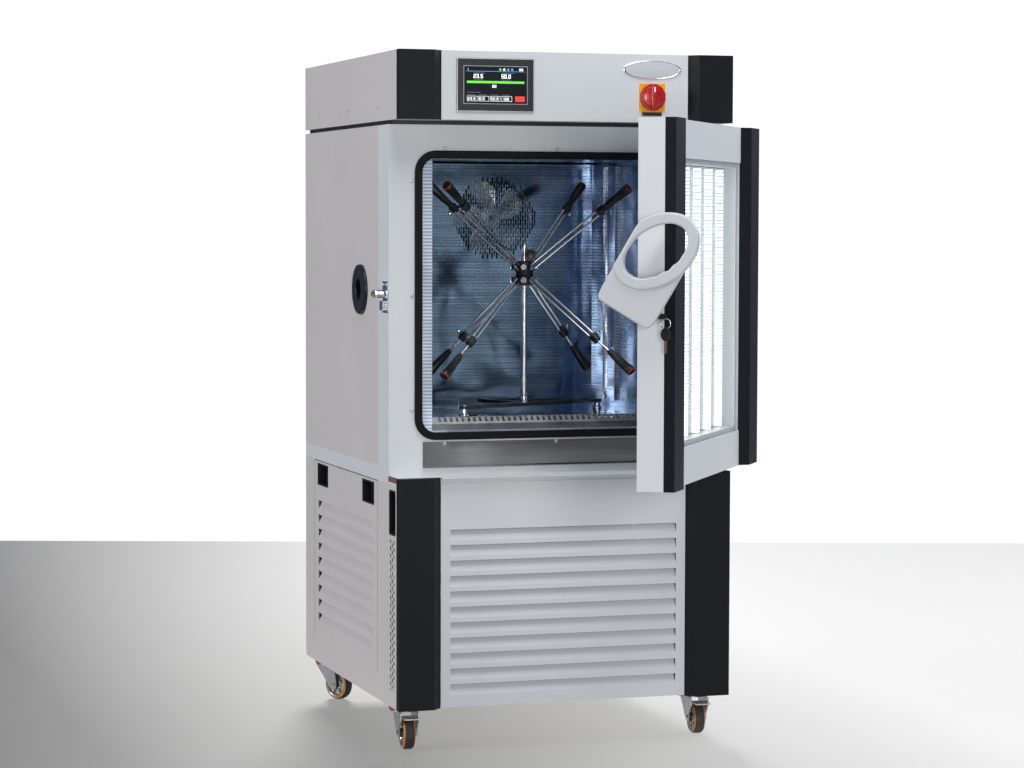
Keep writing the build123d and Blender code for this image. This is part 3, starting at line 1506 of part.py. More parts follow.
with BuildPart() as sensor_arms:
    for end in arm_ends:
        start, along, length = arm_line(end)
        beside = along.cross(Vector(0, 0, 1)).normalized() * (arm_rod_spacing / 2)
        lower_reach = lower_rod_reach if along.Z < 0 else 0
        collar_start = start + along * (length - probe_length - lower_reach - arm_collar_length)
        collar_end = collar_start + along * arm_collar_length
        for rod_side in (-1, 1):
            shift = beside * rod_side
            rod(tuple(start + shift), tuple(collar_end + shift), arm_rod_radius)
        rod(tuple(collar_start), tuple(collar_end), arm_collar_radius)
        rod(tuple(collar_start), tuple(start + along * (length - probe_length)), arm_rod_radius)
    rod((pole_x, pole_y, stand_hub_bottom), (pole_x, pole_y, hub_top), stand_hub_radius, Mode.SUBTRACT)
keep(sensor_arms, "sensor_arms")

with BuildPart() as sensor_probes:
    for end in arm_ends:
        start, along, length = arm_line(end)
        root = start + along * (length - probe_length)
        cone(tuple(root), tuple(start + along * length), probe_root_radius, probe_tip_radius)
    rod((pole_x, pole_y, pole_top), (pole_x, pole_y, pole_top + 2), pole_radius + 1)
keep(sensor_probes, "sensor_probes")
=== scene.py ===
import math

import bmesh
import bpy
import numpy as np
from mathutils import Matrix, Vector


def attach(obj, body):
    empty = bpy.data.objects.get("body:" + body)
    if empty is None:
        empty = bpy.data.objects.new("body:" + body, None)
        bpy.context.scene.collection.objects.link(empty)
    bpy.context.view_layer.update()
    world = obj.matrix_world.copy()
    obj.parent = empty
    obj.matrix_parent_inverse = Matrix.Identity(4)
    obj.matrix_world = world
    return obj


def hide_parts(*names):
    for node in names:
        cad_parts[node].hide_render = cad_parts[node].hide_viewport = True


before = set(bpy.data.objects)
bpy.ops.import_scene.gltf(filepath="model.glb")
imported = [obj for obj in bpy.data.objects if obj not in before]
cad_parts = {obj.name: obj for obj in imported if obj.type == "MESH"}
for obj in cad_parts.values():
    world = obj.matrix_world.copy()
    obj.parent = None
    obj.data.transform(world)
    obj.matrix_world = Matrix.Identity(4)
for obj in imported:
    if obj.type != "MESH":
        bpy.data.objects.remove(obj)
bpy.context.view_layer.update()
print("frame loaded:", len(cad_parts), "nodes")

# Lengths here are millimetres until toMetres puts them into a mesh
cabinet = {"width": 850.0, "depth": 945.0}
doorPose = {"openAngle": 55.0, "hingeX": 437.0, "hingeY": 96.0}


def toMetres(points):
    # Front-based millimetres to frame metres: Y is counted from the front trims' plane
    out = np.asarray(points, float) / 1000.0
    out[..., 1] -= cabinet["depth"] / 2000.0
    return out


def swingOpen(points):
    # Turn closed-door points about the hinge line by the open angle
    turn = math.radians(doorPose["openAngle"])
    pts = np.array(points, float)
    dx = pts[..., 0] - doorPose["hingeX"]
    dy = pts[..., 1] - doorPose["hingeY"]
    pts[..., 0] = doorPose["hingeX"] + math.cos(turn) * dx - math.sin(turn) * dy
    pts[..., 1] = doorPose["hingeY"] + math.sin(turn) * dx + math.cos(turn) * dy
    return pts


# Camera: place in front-based millimetres, angles in radians
lens = {"place": (-2222.7, -6503.1, 1285.0), "yaw": 0.3095, "pitch": -0.0576, "roll": 0.0026,
        "focalPixels": 2836.84, "frameWidth": 1024.0, "sensor": 36.0}


def addCamera():
    data = bpy.data.cameras.new("photoCamera")
    camera = bpy.data.objects.new("photoCamera", data)
    bpy.context.scene.collection.objects.link(camera)
    yaw, pitch, roll = lens["yaw"], lens["pitch"], lens["roll"]
    ahead = Vector((math.sin(yaw) * math.cos(pitch), math.cos(yaw) * math.cos(pitch), math.sin(pitch)))
    right = Vector((math.cos(yaw), -math.sin(yaw), 0))
    up = right.cross(ahead)
    tiltedRight = math.cos(roll) * right + math.sin(roll) * up
    tiltedUp = -math.sin(roll) * right + math.cos(roll) * up
    rotation = Matrix((tiltedRight, tiltedUp, -ahead)).transposed()
    place = Vector(toMetres(lens["place"]))
    camera.matrix_world = Matrix.Translation(place) @ rotation.to_4x4()
    data.sensor_width = lens["sensor"]
    data.lens = lens["focalPixels"] / lens["frameWidth"] * lens["sensor"]
    data.clip_end = 60
    bpy.context.scene.camera = camera


addCamera()
print("camera placed")


# Shader groups shared by several finishes

socketKinds = {"Color": "NodeSocketColor", "Roughness": "NodeSocketFloat", "Normal": "NodeSocketVector"}


def newGroup(name, inputs, outputs=("Color", "Roughness", "Normal")):
    # An input is a plain number, a vector of three or a colour of four
    group = bpy.data.node_groups.new(name, "ShaderNodeTree")
    for label, value in inputs.items():
        size = len(value) if isinstance(value, tuple) else 1
        kind = socketKinds[{1: "Roughness", 3: "Normal", 4: "Color"}[size]]
        group.interface.new_socket(label, in_out="INPUT", socket_type=kind).default_value = value
    for label in outputs:
        group.interface.new_socket(label, in_out="OUTPUT", socket_type=socketKinds[label])
    start = group.nodes.new("NodeGroupInput")
    end = group.nodes.new("NodeGroupOutput")
    return group, start, end


def feed(tree, value, socket):
    # Link an output of another node, or set a plain value
    if hasattr(value, "links"):
        tree.links.new(value, socket)
    else:
        socket.default_value = value


def finishGroup(group, end, **results):
    for label, result in results.items():
        group.links.new(result, end.inputs[label])
    return group


def objectPlace(tree):
    return tree.nodes.new("ShaderNodeTexCoord").outputs["Object"]


def objectAxis(tree, axis):
    split = tree.nodes.new("ShaderNodeSeparateXYZ")
    tree.links.new(objectPlace(tree), split.inputs["Vector"])
    return split.outputs[axis]


def mathNode(tree, operation, *values):
    node = tree.nodes.new("ShaderNodeMath")
    node.operation = operation
    for value, socket in zip(values, node.inputs):
        feed(tree, value, socket)
    return node.outputs["Value"]


def noiseNode(tree, vector, scale, detail, roughness=0.5):
    noise = tree.nodes.new("ShaderNodeTexNoise")
    noise.inputs["Detail"].default_value = detail
    noise.inputs["Roughness"].default_value = roughness
    feed(tree, scale, noise.inputs["Scale"])
    tree.links.new(vector, noise.inputs["Vector"])
    return noise.outputs["Fac"]


def rangeNode(tree, source, low, high, toLow, toHigh):
    node = tree.nodes.new("ShaderNodeMapRange")
    node.inputs["From Min"].default_value = low
    node.inputs["From Max"].default_value = high
    feed(tree, toLow, node.inputs["To Min"])
    feed(tree, toHigh, node.inputs["To Max"])
    tree.links.new(source, node.inputs["Value"])
    return node.outputs["Result"]


def mixColors(tree, factor, colorA, colorB):
    mix = tree.nodes.new("ShaderNodeMix")
    mix.data_type = "RGBA"
    tree.links.new(factor, mix.inputs["Factor"])
    colorSockets = [socket for socket in mix.inputs if socket.type == "RGBA"]
    for socket, value in zip(colorSockets, (colorA, colorB)):
        feed(tree, value, socket)
    return next(socket for socket in mix.outputs if socket.type == "RGBA")


def bumpNode(tree, height, strength, distance, under=None):
    bump = tree.nodes.new("ShaderNodeBump")
    tree.links.new(strength, bump.inputs["Strength"])
    bump.inputs["Distance"].default_value = distance
    tree.links.new(height, bump.inputs["Height"])
    if under is not None:
        tree.links.new(under, bump.inputs["Normal"])
    return bump.outputs["Normal"]


def buildPaintGroup():
    # Powder coat: fine orange-peel bump, slow shade drift, and faint dust in the roughness
    group, start, end = newGroup("powderCoat", {
        "Light": (0.7, 0.7, 0.7, 1), "Dark": (0.6, 0.6, 0.6, 1),
        "Peel": 900.0, "Depth": 0.2, "Smooth": 0.35, "Rough": 0.5})
    spot = objectPlace(group)
    peel = noiseNode(group, spot, start.outputs["Peel"], 2.0)
    drift = noiseNode(group, spot, 3.0, 3.0)
    dust = noiseNode(group, spot, 45.0, 6.0, 0.65)
    factor = rangeNode(group, drift, 0.3, 0.7, 0.0, 1.0)
    shade = mixColors(group, factor, start.outputs["Light"], start.outputs["Dark"])
    rough = rangeNode(group, dust, 0.3, 0.7, start.outputs["Smooth"], start.outputs["Rough"])
    normal = bumpNode(group, peel, start.outputs["Depth"], 0.0004)
    return finishGroup(group, end, Color=shade, Roughness=rough, Normal=normal)


def buildBrushGroup():
    # Brushed metal: noise stretched along the grain, over slow dents that bend the reflections
    group, start, end = newGroup("brushedGrain", {
        "Stretch": (4.0, 4.0, 900.0), "Light": (0.8, 0.8, 0.8, 1), "Dark": (0.6, 0.6, 0.6, 1),
        "Depth": 0.1, "Waves": 0.0, "Smooth": 0.15, "Rough": 0.35})
    spot = objectPlace(group)
    scaled = group.nodes.new("ShaderNodeVectorMath")
    scaled.operation = "MULTIPLY"
    group.links.new(spot, scaled.inputs[0])
    group.links.new(start.outputs["Stretch"], scaled.inputs[1])
    grain = noiseNode(group, scaled.outputs["Vector"], 1.0, 4.0, 0.7)
    waves = noiseNode(group, spot, 5.0, 1.0)
    smear = noiseNode(group, spot, 9.0, 4.0, 0.6)
    factor = rangeNode(group, grain, 0.3, 0.7, 0.0, 1.0)
    shade = mixColors(group, factor, start.outputs["Light"], start.outputs["Dark"])
    rough = rangeNode(group, smear, 0.3, 0.7, start.outputs["Smooth"], start.outputs["Rough"])
    slow = bumpNode(group, waves, start.outputs["Waves"], 0.03)
    normal = bumpNode(group, grain, start.outputs["Depth"], 0.0004, slow)
    return finishGroup(group, end, Color=shade, Roughness=rough, Normal=normal)


def buildMouldGroup():
    # Moulded plastic or rubber: pebble grain with patchy gloss
    group, start, end = newGroup("mouldGrain", {
        "Light": (0.05, 0.05, 0.05, 1), "Dark": (0.03, 0.03, 0.03, 1),
        "Grain": 700.0, "Depth": 0.3, "Smooth": 0.35, "Rough": 0.6})
    spot = objectPlace(group)
    cells = group.nodes.new("ShaderNodeTexVoronoi")
    group.links.new(spot, cells.inputs["Vector"])
    group.links.new(start.outputs["Grain"], cells.inputs["Scale"])
    patch = noiseNode(group, spot, 60.0, 5.0, 0.6)
    factor = rangeNode(group, patch, 0.35, 0.65, 0.0, 1.0)
    shade = mixColors(group, factor, start.outputs["Light"], start.outputs["Dark"])
    rough = rangeNode(group, patch, 0.3, 0.7, start.outputs["Smooth"], start.outputs["Rough"])
    normal = bumpNode(group, cells.outputs["Distance"], start.outputs["Depth"], 0.0003)
    return finishGroup(group, end, Color=shade, Roughness=rough, Normal=normal)


def buildReflectionRibGroup():
    # Painted reflection of the window's lamp rows, drawn as horizontal ribs: 0.5 + 0.5 sin(2 pi z / pitch)
    # mixes in the reflection colour by the given amount
    group, start, end = newGroup("paintedReflectionRibs", {
        "Color": (0.5, 0.5, 0.5, 1), "ReflectedRibColor": (0.3, 0.3, 0.3, 1),
        "Amount": 0.5, "Pitch": 0.0082}, ("Color",))
    turns = mathNode(group, "DIVIDE", objectAxis(group, "Z"), start.outputs["Pitch"])
    wave = mathNode(group, "SINE", mathNode(group, "MULTIPLY", turns, 2 * math.pi))
    factor = rangeNode(group, wave, -1.0, 1.0, 0.0, start.outputs["Amount"])
    shade = mixColors(group, factor, start.outputs["Color"], start.outputs["ReflectedRibColor"])
    return finishGroup(group, end, Color=shade)


paintGroup = buildPaintGroup()
reflectionRibGroup = buildReflectionRibGroup()
brushGroup = buildBrushGroup()
mouldGroup = buildMouldGroup()


def newSurface(name):
    material = bpy.data.materials.new(name)
    material.use_nodes = True
    return material, material.node_tree, material.node_tree.nodes["Principled BSDF"]


def newMaterial(name, group, values, metallic=0.0, coat=0.0, specular=0.5):
    material, tree, shader = newSurface(name)
    shader.inputs["Metallic"].default_value = metallic
    shader.inputs["Coat Weight"].default_value = coat
    shader.inputs["Coat Roughness"].default_value = 0.12
    shader.inputs["Specular IOR Level"].default_value = specular
    effect = tree.nodes.new("ShaderNodeGroup")
    effect.node_tree = group
    for label, value in values.items():
        effect.inputs[label].default_value = value
    for label, socket in (("Color", "Base Color"), ("Roughness", "Roughness"), ("Normal", "Normal")):
        tree.links.new(effect.outputs[label], shader.inputs[socket])
    return material


# Rows: name, light and dark shade, least and most roughness, bump depth, grain, waves in the brushed
# metals only, and the Principled settings that differ from newMaterial's own
paintRows = (
    ("lightPaint", (0.660, 0.685, 0.700), (0.635, 0.660, 0.672), 0.34, 0.46, 0.12, 850.0, {}),
    ("warmPaint", (0.60, 0.575, 0.555), (0.57, 0.545, 0.527), 0.40, 0.52, 0.12, 850.0, {}),
    ("anthracite", (0.0075, 0.0095, 0.0125), (0.0055, 0.0070, 0.0095),
     0.42, 0.56, 0.12, 850.0, {"specular": 0.16}),
    ("machineEnamel", (0.02, 0.02, 0.022), (0.012, 0.012, 0.014), 0.25, 0.45, 0.12, 850.0, {"coat": 0.2}),
    ("handleGrey", (0.56, 0.575, 0.60), (0.53, 0.545, 0.57), 0.34, 0.42, 0.05, 1400.0, {"coat": 0.08}),
    ("yellowPlate", (0.95, 0.42, 0.0), (0.85, 0.36, 0.0), 0.28, 0.4, 0.04, 1500.0, {"coat": 0.2}),
    ("redKnob", (0.50, 0.012, 0.006), (0.40, 0.008, 0.004), 0.22, 0.34, 0.04, 1500.0, {"coat": 0.3}),
    ("orangeRing", (0.62, 0.07, 0.01), (0.50, 0.05, 0.01), 0.3, 0.4, 0.04, 1500.0, {}),
)
brushRows = (
    ("spacerBrown", (0.20, 0.12, 0.065), (0.14, 0.08, 0.04), 0.5, 0.7, 0.2, (60.0, 60.0, 900.0), 0.0, {}),
    ("liner", (0.88, 0.90, 0.92), (0.62, 0.66, 0.72),
     0.08, 0.20, 0.16, (2.0, 2.0, 300.0), 0.30, {"metallic": 1.0}),
    # Painted reflection: the air wall's steel is tinted blue for the mirrored blue room
    ("baffleSteelPaintedReflection", (0.33, 0.43, 0.59), (0.16, 0.22, 0.34),
     0.07, 0.18, 0.14, (2.0, 2.0, 300.0), 0.30, {"metallic": 1.0}),
    ("brightSteel", (0.82, 0.82, 0.83), (0.72, 0.72, 0.74),
     0.08, 0.20, 0.02, (30.0, 30.0, 30.0), 0.0, {"metallic": 1.0}),
    # Painted shade: the drip panel's and the sill's stainless steel are dark copies of the bright steel,
    # standing in for their dark reflections
    ("dripSteelPaintedShade", (0.15, 0.155, 0.165), (0.085, 0.088, 0.095),
     0.10, 0.20, 0.08, (3.0, 3.0, 500.0), 0.06, {"metallic": 1.0}),
    ("sillSteelPaintedShade", (0.20, 0.205, 0.215), (0.13, 0.135, 0.145),
     0.18, 0.32, 0.05, (30.0, 30.0, 30.0), 0.0, {"metallic": 1.0}),
    ("zinc", (0.60, 0.61, 0.62), (0.42, 0.43, 0.44),
     0.25, 0.45, 0.1, (90.0, 90.0, 90.0), 0.0, {"metallic": 1.0}),
    ("fanMetal", (0.92, 0.93, 0.94), (0.80, 0.81, 0.83),
     0.26, 0.42, 0.08, (60.0, 60.0, 60.0), 0.0, {"metallic": 0.35}),
    ("finMetal", (0.62, 0.62, 0.63), (0.45, 0.45, 0.47),
     0.3, 0.5, 0.1, (40.0, 40.0, 400.0), 0.0, {"metallic": 1.0}),
    ("brass", (0.62, 0.48, 0.30), (0.40, 0.30, 0.18),
     0.25, 0.45, 0.1, (200.0, 200.0, 200.0), 0.0, {"metallic": 1.0}),
)
mouldRows = (
    ("rubber", (0.004, 0.004, 0.005), (0.0025, 0.0025, 0.003), 0.38, 0.54, 0.2, 500.0, {"specular": 0.12}),
    ("blackPlastic", (0.013, 0.013, 0.015), (0.008, 0.008, 0.009), 0.28, 0.45, 0.12, 900.0, {}),
    ("castorTread", (0.045, 0.035, 0.030), (0.025, 0.02, 0.018), 0.5, 0.75, 0.3, 300.0, {}),
    ("castorAmber", (0.60, 0.26, 0.03), (0.42, 0.16, 0.02), 0.3, 0.5, 0.15, 260.0, {"coat": 0.2}),
    ("dustRed", (0.50, 0.03, 0.02), (0.36, 0.02, 0.015), 0.4, 0.55, 0.1, 600.0, {}),
    ("foam", (0.65, 0.56, 0.35), (0.55, 0.45, 0.28), 0.8, 0.95, 0.5, 250.0, {}),
)
materials = {}
for group, grainLabel, rowTable in ((paintGroup, "Peel", paintRows), (brushGroup, "Stretch", brushRows),
                                    (mouldGroup, "Grain", mouldRows)):
    for name, light, dark, smooth, rough, depth, grain, *waves, extras in rowTable:
        values = {"Light": (*light, 1), "Dark": (*dark, 1), "Smooth": smooth, "Rough": rough,
                  "Depth": depth, grainLabel: grain}
        if waves:
            values["Waves"] = waves[0]
        materials[name] = newMaterial(name, group, values, **extras)


# Lays the painted reflection ribs of the lamp rows over a colour
def reflectionRibNode(tree, color, reflectionColor, amount):
    ribs = tree.nodes.new("ShaderNodeGroup")
    ribs.node_tree = reflectionRibGroup
    tree.links.new(color, ribs.inputs["Color"])
    ribs.inputs["ReflectedRibColor"].default_value = reflectionColor
    ribs.inputs["Amount"].default_value = amount
    return ribs.outputs["Color"]


def paintLinerReflectionAndShade(material):
    # Room steel by place: painted reflection ribs of the lamp rows on the pale flange at the opening and on
    # the mirror walls, and painted shade, near black, behind the air wall
    tree = material.node_tree
    shader = tree.nodes["Principled BSDF"]
    steel = shader.inputs["Base Color"].links[0].from_socket
    depth = objectAxis(tree, "Y")
    flangeEnd, paintedShadeStart = (-0.372, -0.368), (0.262, 0.270)
    flange = rangeNode(tree, depth, *flangeEnd, 1.0, 0.0)
    paintedShadeMask = rangeNode(tree, depth, *paintedShadeStart, 0.0, 1.0)
    walls = reflectionRibNode(tree, steel, (0.30, 0.36, 0.44, 1), 0.45)
    # Painted shade: the steel turns near black behind the air wall
    dark = mixColors(tree, paintedShadeMask, walls, (0.02, 0.022, 0.026, 1))
    pale = reflectionRibNode(tree, steel, (0.20, 0.32, 0.46, 1), 0.9)
    tree.links.new(mixColors(tree, flange, dark, pale), shader.inputs["Base Color"])
    tree.links.new(rangeNode(tree, depth, *flangeEnd, 0.25, 1.0), shader.inputs["Metallic"])


# Lays the painted reflection ribs of the lamp rows over a steel finish
def paintReflectionRibs(material, reflectionColor, amount):
    tree = material.node_tree
    shader = tree.nodes["Principled BSDF"]
    steel = shader.inputs["Base Color"].links[0].from_socket
    tree.links.new(reflectionRibNode(tree, steel, reflectionColor, amount), shader.inputs["Base Color"])


# The room steel gets painted reflection ribs and painted shade behind the air wall
paintLinerReflectionAndShade(materials["liner"])
# Painted reflection ribs of the lamp rows on the blue-tinted air wall
paintReflectionRibs(materials["baffleSteelPaintedReflection"], (0.10, 0.15, 0.24, 1), 0.45)


def newGlass(name, color, roughness, alpha):
    # Thin clear pane: a mostly see-through Principled with slightly uneven gloss
    material, tree, shader = newSurface(name)
    shader.inputs["Base Color"].default_value = color
    shader.inputs["Alpha"].default_value = alpha
    haze = noiseNode(tree, objectPlace(tree), 12.0, 3.0)
    rough = rangeNode(tree, haze, 0.3, 0.7, roughness, roughness + 0.05)
    tree.links.new(rough, shader.inputs["Roughness"])
    return material


def newGlow(name, color, strength, spread=0.15):
    # Lit surface whose colour varies a little from place to place
    material, tree, shader = newSurface(name)
    shader.inputs["Roughness"].default_value = 0.4
    noise = noiseNode(tree, objectPlace(tree), 40.0, 2.0)
    dim = tuple(c * (1 - spread) for c in color[:3]) + (1,)
    factor = rangeNode(tree, noise, 0.3, 0.7, 0.0, 1.0)
    mixed = mixColors(tree, factor, color, dim)
    tree.links.new(mixed, shader.inputs["Base Color"])
    tree.links.new(mixed, shader.inputs["Emission Color"])
    shader.inputs["Emission Strength"].default_value = strength
    return material


materials["windowGlass"] = newGlass("windowGlass", (0.30, 0.38, 0.36, 1), 0.02, 0.12)
materials["ledGlow"] = newGlow("ledGlow", (0.95, 0.98, 1.0, 1), 1.5)
# Painted light: the pleated backing behind the lamps glows as if lit by them
materials["ledBackingPaintedGlow"] = newGlow("ledBackingPaintedGlow", (0.20, 0.24, 0.235, 1), 0.9, 0.1)
materials["screenDark"] = newMaterial("screenDark", mouldGroup, {
    "Light": (0.006, 0.007, 0.010, 1), "Dark": (0.004, 0.005, 0.007, 1), "Grain": 1200.0, "Depth": 0.0,
    "Smooth": 0.30, "Rough": 0.38}, specular=0.2)
pictureGlows = {"uiWhite": ((0.85, 0.88, 0.90, 1), 0.9), "uiGrey": ((0.10, 0.115, 0.14, 1), 0.5),
                "uiGreen": ((0.10, 0.62, 0.04, 1), 0.9), "uiBlue": ((0.05, 0.32, 0.62, 1), 0.9),
                "uiRed": ((0.75, 0.03, 0.02, 1), 0.9)}
for name, (shade, strength) in pictureGlows.items():
    materials[name] = newGlow(name, shade, strength)
print("materials built:", len(materials))

# Finish of each CAD node
nodeFinish = {
    "base_frame": "warmPaint", "machine_deck": "lightPaint", "shelf_spacers": "spacerBrown",
    "left_service_panel": "warmPaint", "right_service_panel": "warmPaint", "panel_pulls": "blackPlastic",
    "front_grille": "lightPaint", "corner_trims": "anthracite", "rear_panel": "warmPaint",
    "chamber_front_frame": "lightPaint", "chamber_wrap": "warmPaint", "insulation": "foam",
    "inner_liner": "liner", "opening_gasket": "rubber", "flange_screws": "brightSteel",
    "drip_panel": "dripSteelPaintedShade", "sill_grate": "sillSteelPaintedShade", "air_baffle": "baffleSteelPaintedReflection",
    "circulation_motor": "machineEnamel", "circulation_fan": "fanMetal", "heater": "zinc",
    "evaporator": "finMetal", "shelf_rails": "liner", "neck_plinth": "blackPlastic",
    "head_casing": "warmPaint", "head_front_panel": "lightPaint", "display_frame": "blackPlastic",
    "display_screen": "screenDark", "switch_plate": "yellowPlate", "switch_knob": "redKnob",
    "access_port": "blackPlastic", "striker": "brightSteel", "cabinet_hinges": "anthracite",
    "castor_plates": "zinc", "condenser": "finMetal", "condenser_fan": "machineEnamel",
    "compressor": "machineEnamel", "control_box": "zinc", "sensor_stand": "brightSteel",
    "sensor_arms": "brightSteel", "sensor_probes": "blackPlastic", "door_hinges": "anthracite",
    "door_shell": "lightPaint", "door_trims": "anthracite", "door_glass": "windowGlass",
    "led_strips": "ledBackingPaintedGlow", "door_inner_frame": "rubber", "door_lock": "zinc", "handle": "handleGrey",
    "lock_key": "blackPlastic",
}


def finishOf(nodeName):
    if nodeName in nodeFinish:
        return nodeFinish[nodeName]
    if nodeName.startswith("castor_wheel"):
        return "castorTread"
    return "zinc"


for nodeName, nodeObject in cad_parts.items():
    material = materials[finishOf(nodeName)]
    for slotIndex in range(len(nodeObject.material_slots)):
        nodeObject.material_slots[slotIndex].material = material
print("CAD nodes finished")


# Mesh makers: every shape is a grid of points worked out as whole arrays

def meshObject(name, points, faces, material, smooth=True):
    mesh = bpy.data.meshes.new(name)
    mesh.from_pydata(np.asarray(points).reshape(-1, 3).tolist(), [], np.asarray(faces).tolist())
    work = bmesh.new()
    work.from_mesh(mesh)
    bmesh.ops.remove_doubles(work, verts=work.verts, dist=1e-6)
    bmesh.ops.recalc_face_normals(work, faces=work.faces)
    work.to_mesh(mesh)
    work.free()
    mesh.materials.append(material)
    if smooth:
        mesh.polygons.foreach_set("use_smooth", np.ones(len(mesh.polygons), dtype=bool))
        mesh.set_sharp_from_angle(angle=math.radians(38))
    piece = bpy.data.objects.new(name, mesh)
    bpy.context.scene.collection.objects.link(piece)
    return piece


def gridFaces(rows, columns, wrapRows, wrapColumns, offset=0):
    # Quads that join each grid point to its next row and column, wrapping where asked
    r = np.arange(rows if wrapRows else rows - 1)
    c = np.arange(columns if wrapColumns else columns - 1)
    rr, cc = np.meshgrid(r, c, indexing="ij")
    nextR, nextC = (rr + 1) % rows, (cc + 1) % columns
    here, there = rr * columns, nextR * columns
    quads = np.stack([here + cc, there + cc, there + nextC, here + nextC], -1)
    return quads.reshape(-1, 4) + offset


def axisFrame(axis):
    # Unit axis and two unit directions square to it
    axis = np.asarray(axis, float) / np.linalg.norm(axis)
    helper = np.array([0.0, 0.0, 1.0]) if abs(axis[2]) < 0.9 else np.array([1.0, 0.0, 0.0])
    side = np.cross(helper, axis)
    side /= np.linalg.norm(side)
    return axis, side, np.cross(axis, side)


def turnedPoints(origin, axis, profile, segments):
    # Turned shape: origin + axis * height + radius * (cos a * side + sin a * over)
    axis, side, over = axisFrame(axis)
    profile = np.asarray(profile, float)
    angle = np.linspace(0, 2 * math.pi, segments, endpoint=False)
    ring = np.cos(angle)[None, :, None] * side + np.sin(angle)[None, :, None] * over
    return np.asarray(origin, float) + profile[:, 1, None, None] * axis + profile[:, 0, None, None] * ring


def turnedGroup(name, specs, material, segments=32, smooth=True, pose=None):
    # Several turned shapes in one piece; each spec is (origin, axis, profile of (radius, height))
    allPoints, allFaces, offset = [], [], 0
    for origin, axis, profile in specs:
        points = turnedPoints(origin, axis, profile, segments)
        if pose is not None:
            points = pose(points)
        allPoints.append(points.reshape(-1, 3))
        allFaces.append(gridFaces(len(profile), segments, False, True, offset))
        offset += points.shape[0] * points.shape[1]
    return meshObject(name, toMetres(np.concatenate(allPoints)), np.concatenate(allFaces), material, smooth)


def boxPoints(low, high):
    x, y, z = np.meshgrid([low[0], high[0]], [low[1], high[1]], [low[2], high[2]], indexing="ij")
    return np.stack([x, y, z], -1).reshape(-1, 3)


boxFaces = np.array([[0, 1, 3, 2], [4, 6, 7, 5], [0, 4, 5, 1], [2, 3, 7, 6], [0, 2, 6, 4], [1, 5, 7, 3]])


def boxGroup(name, boxes, material, pose=None, bevel=0.0):
    # Separate boxes in one piece, each given by its low and high corner
    points = np.concatenate([boxPoints(low, high) for low, high in boxes])
    if pose is not None:
        points = pose(points)
    faces = np.concatenate([boxFaces + 8 * index for index in range(len(boxes))])
    piece = meshObject(name, toMetres(points), faces, material, smooth=False)
    if bevel:
        modifier = piece.modifiers.new("softEdge", "BEVEL")
        modifier.width = bevel / 1000
        modifier.segments = 2
    return piece


def place(piece, body, slotName, *replaced):
    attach(piece, body)
    if replaced:
        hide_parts(*replaced)
    return piece


def roundBar(start, end, radius, edge=0.6):
    # Profile of a straight bar with eased ends, from start to end
    start, end = np.asarray(start, float), np.asarray(end, float)
    length = np.linalg.norm(end - start)
    profile = [(0.0, 0.0), (radius - edge, 0.0), (radius, edge),
               (radius, length - edge), (radius - edge, length), (0.0, length)]
    return start, end - start, profile


# Door handle: a leaning oval ring that runs into a flat tail, one closed surface round the finger hole
handleShape = {"backX": -464.5, "ringY": 32.0, "ringZ": 1219.0, "tilt": 30.5, "lean": 27.0,
               "left": 66.0, "right": 77.0, "tail": 159.0, "ringHalfLength": 104.5, "ringHalfWidth": 75.0,
               "gripHalfLength": 80.0, "gripHalfWidth": 49.5, "plate": 11.0, "ring": 17.0, "edge": 4.5,
               "waves": 1.5, "steps": 280, "across": 48}


def leaningOval(t, halfLength, halfWidth):
    # Polar radius of an ellipse whose long axis leans: 1 / sqrt((e1 / length)^2 + (e2 / width)^2)
    lean = math.radians(handleShape["lean"])
    e1 = np.cos(t) * math.sin(lean) + np.sin(t) * math.cos(lean)
    e2 = np.cos(t) * math.cos(lean) - np.sin(t) * math.sin(lean)
    return 1 / np.sqrt((e1 / halfLength) ** 2 + (e2 / halfWidth) ** 2)


def softCorner(radii, power):
    # Rounded meeting of straight sides: (sum of r^-p)^(-1/p)
    return sum(np.maximum(1.0 / r, 1e-6) ** power for r in radii) ** (-1 / power)


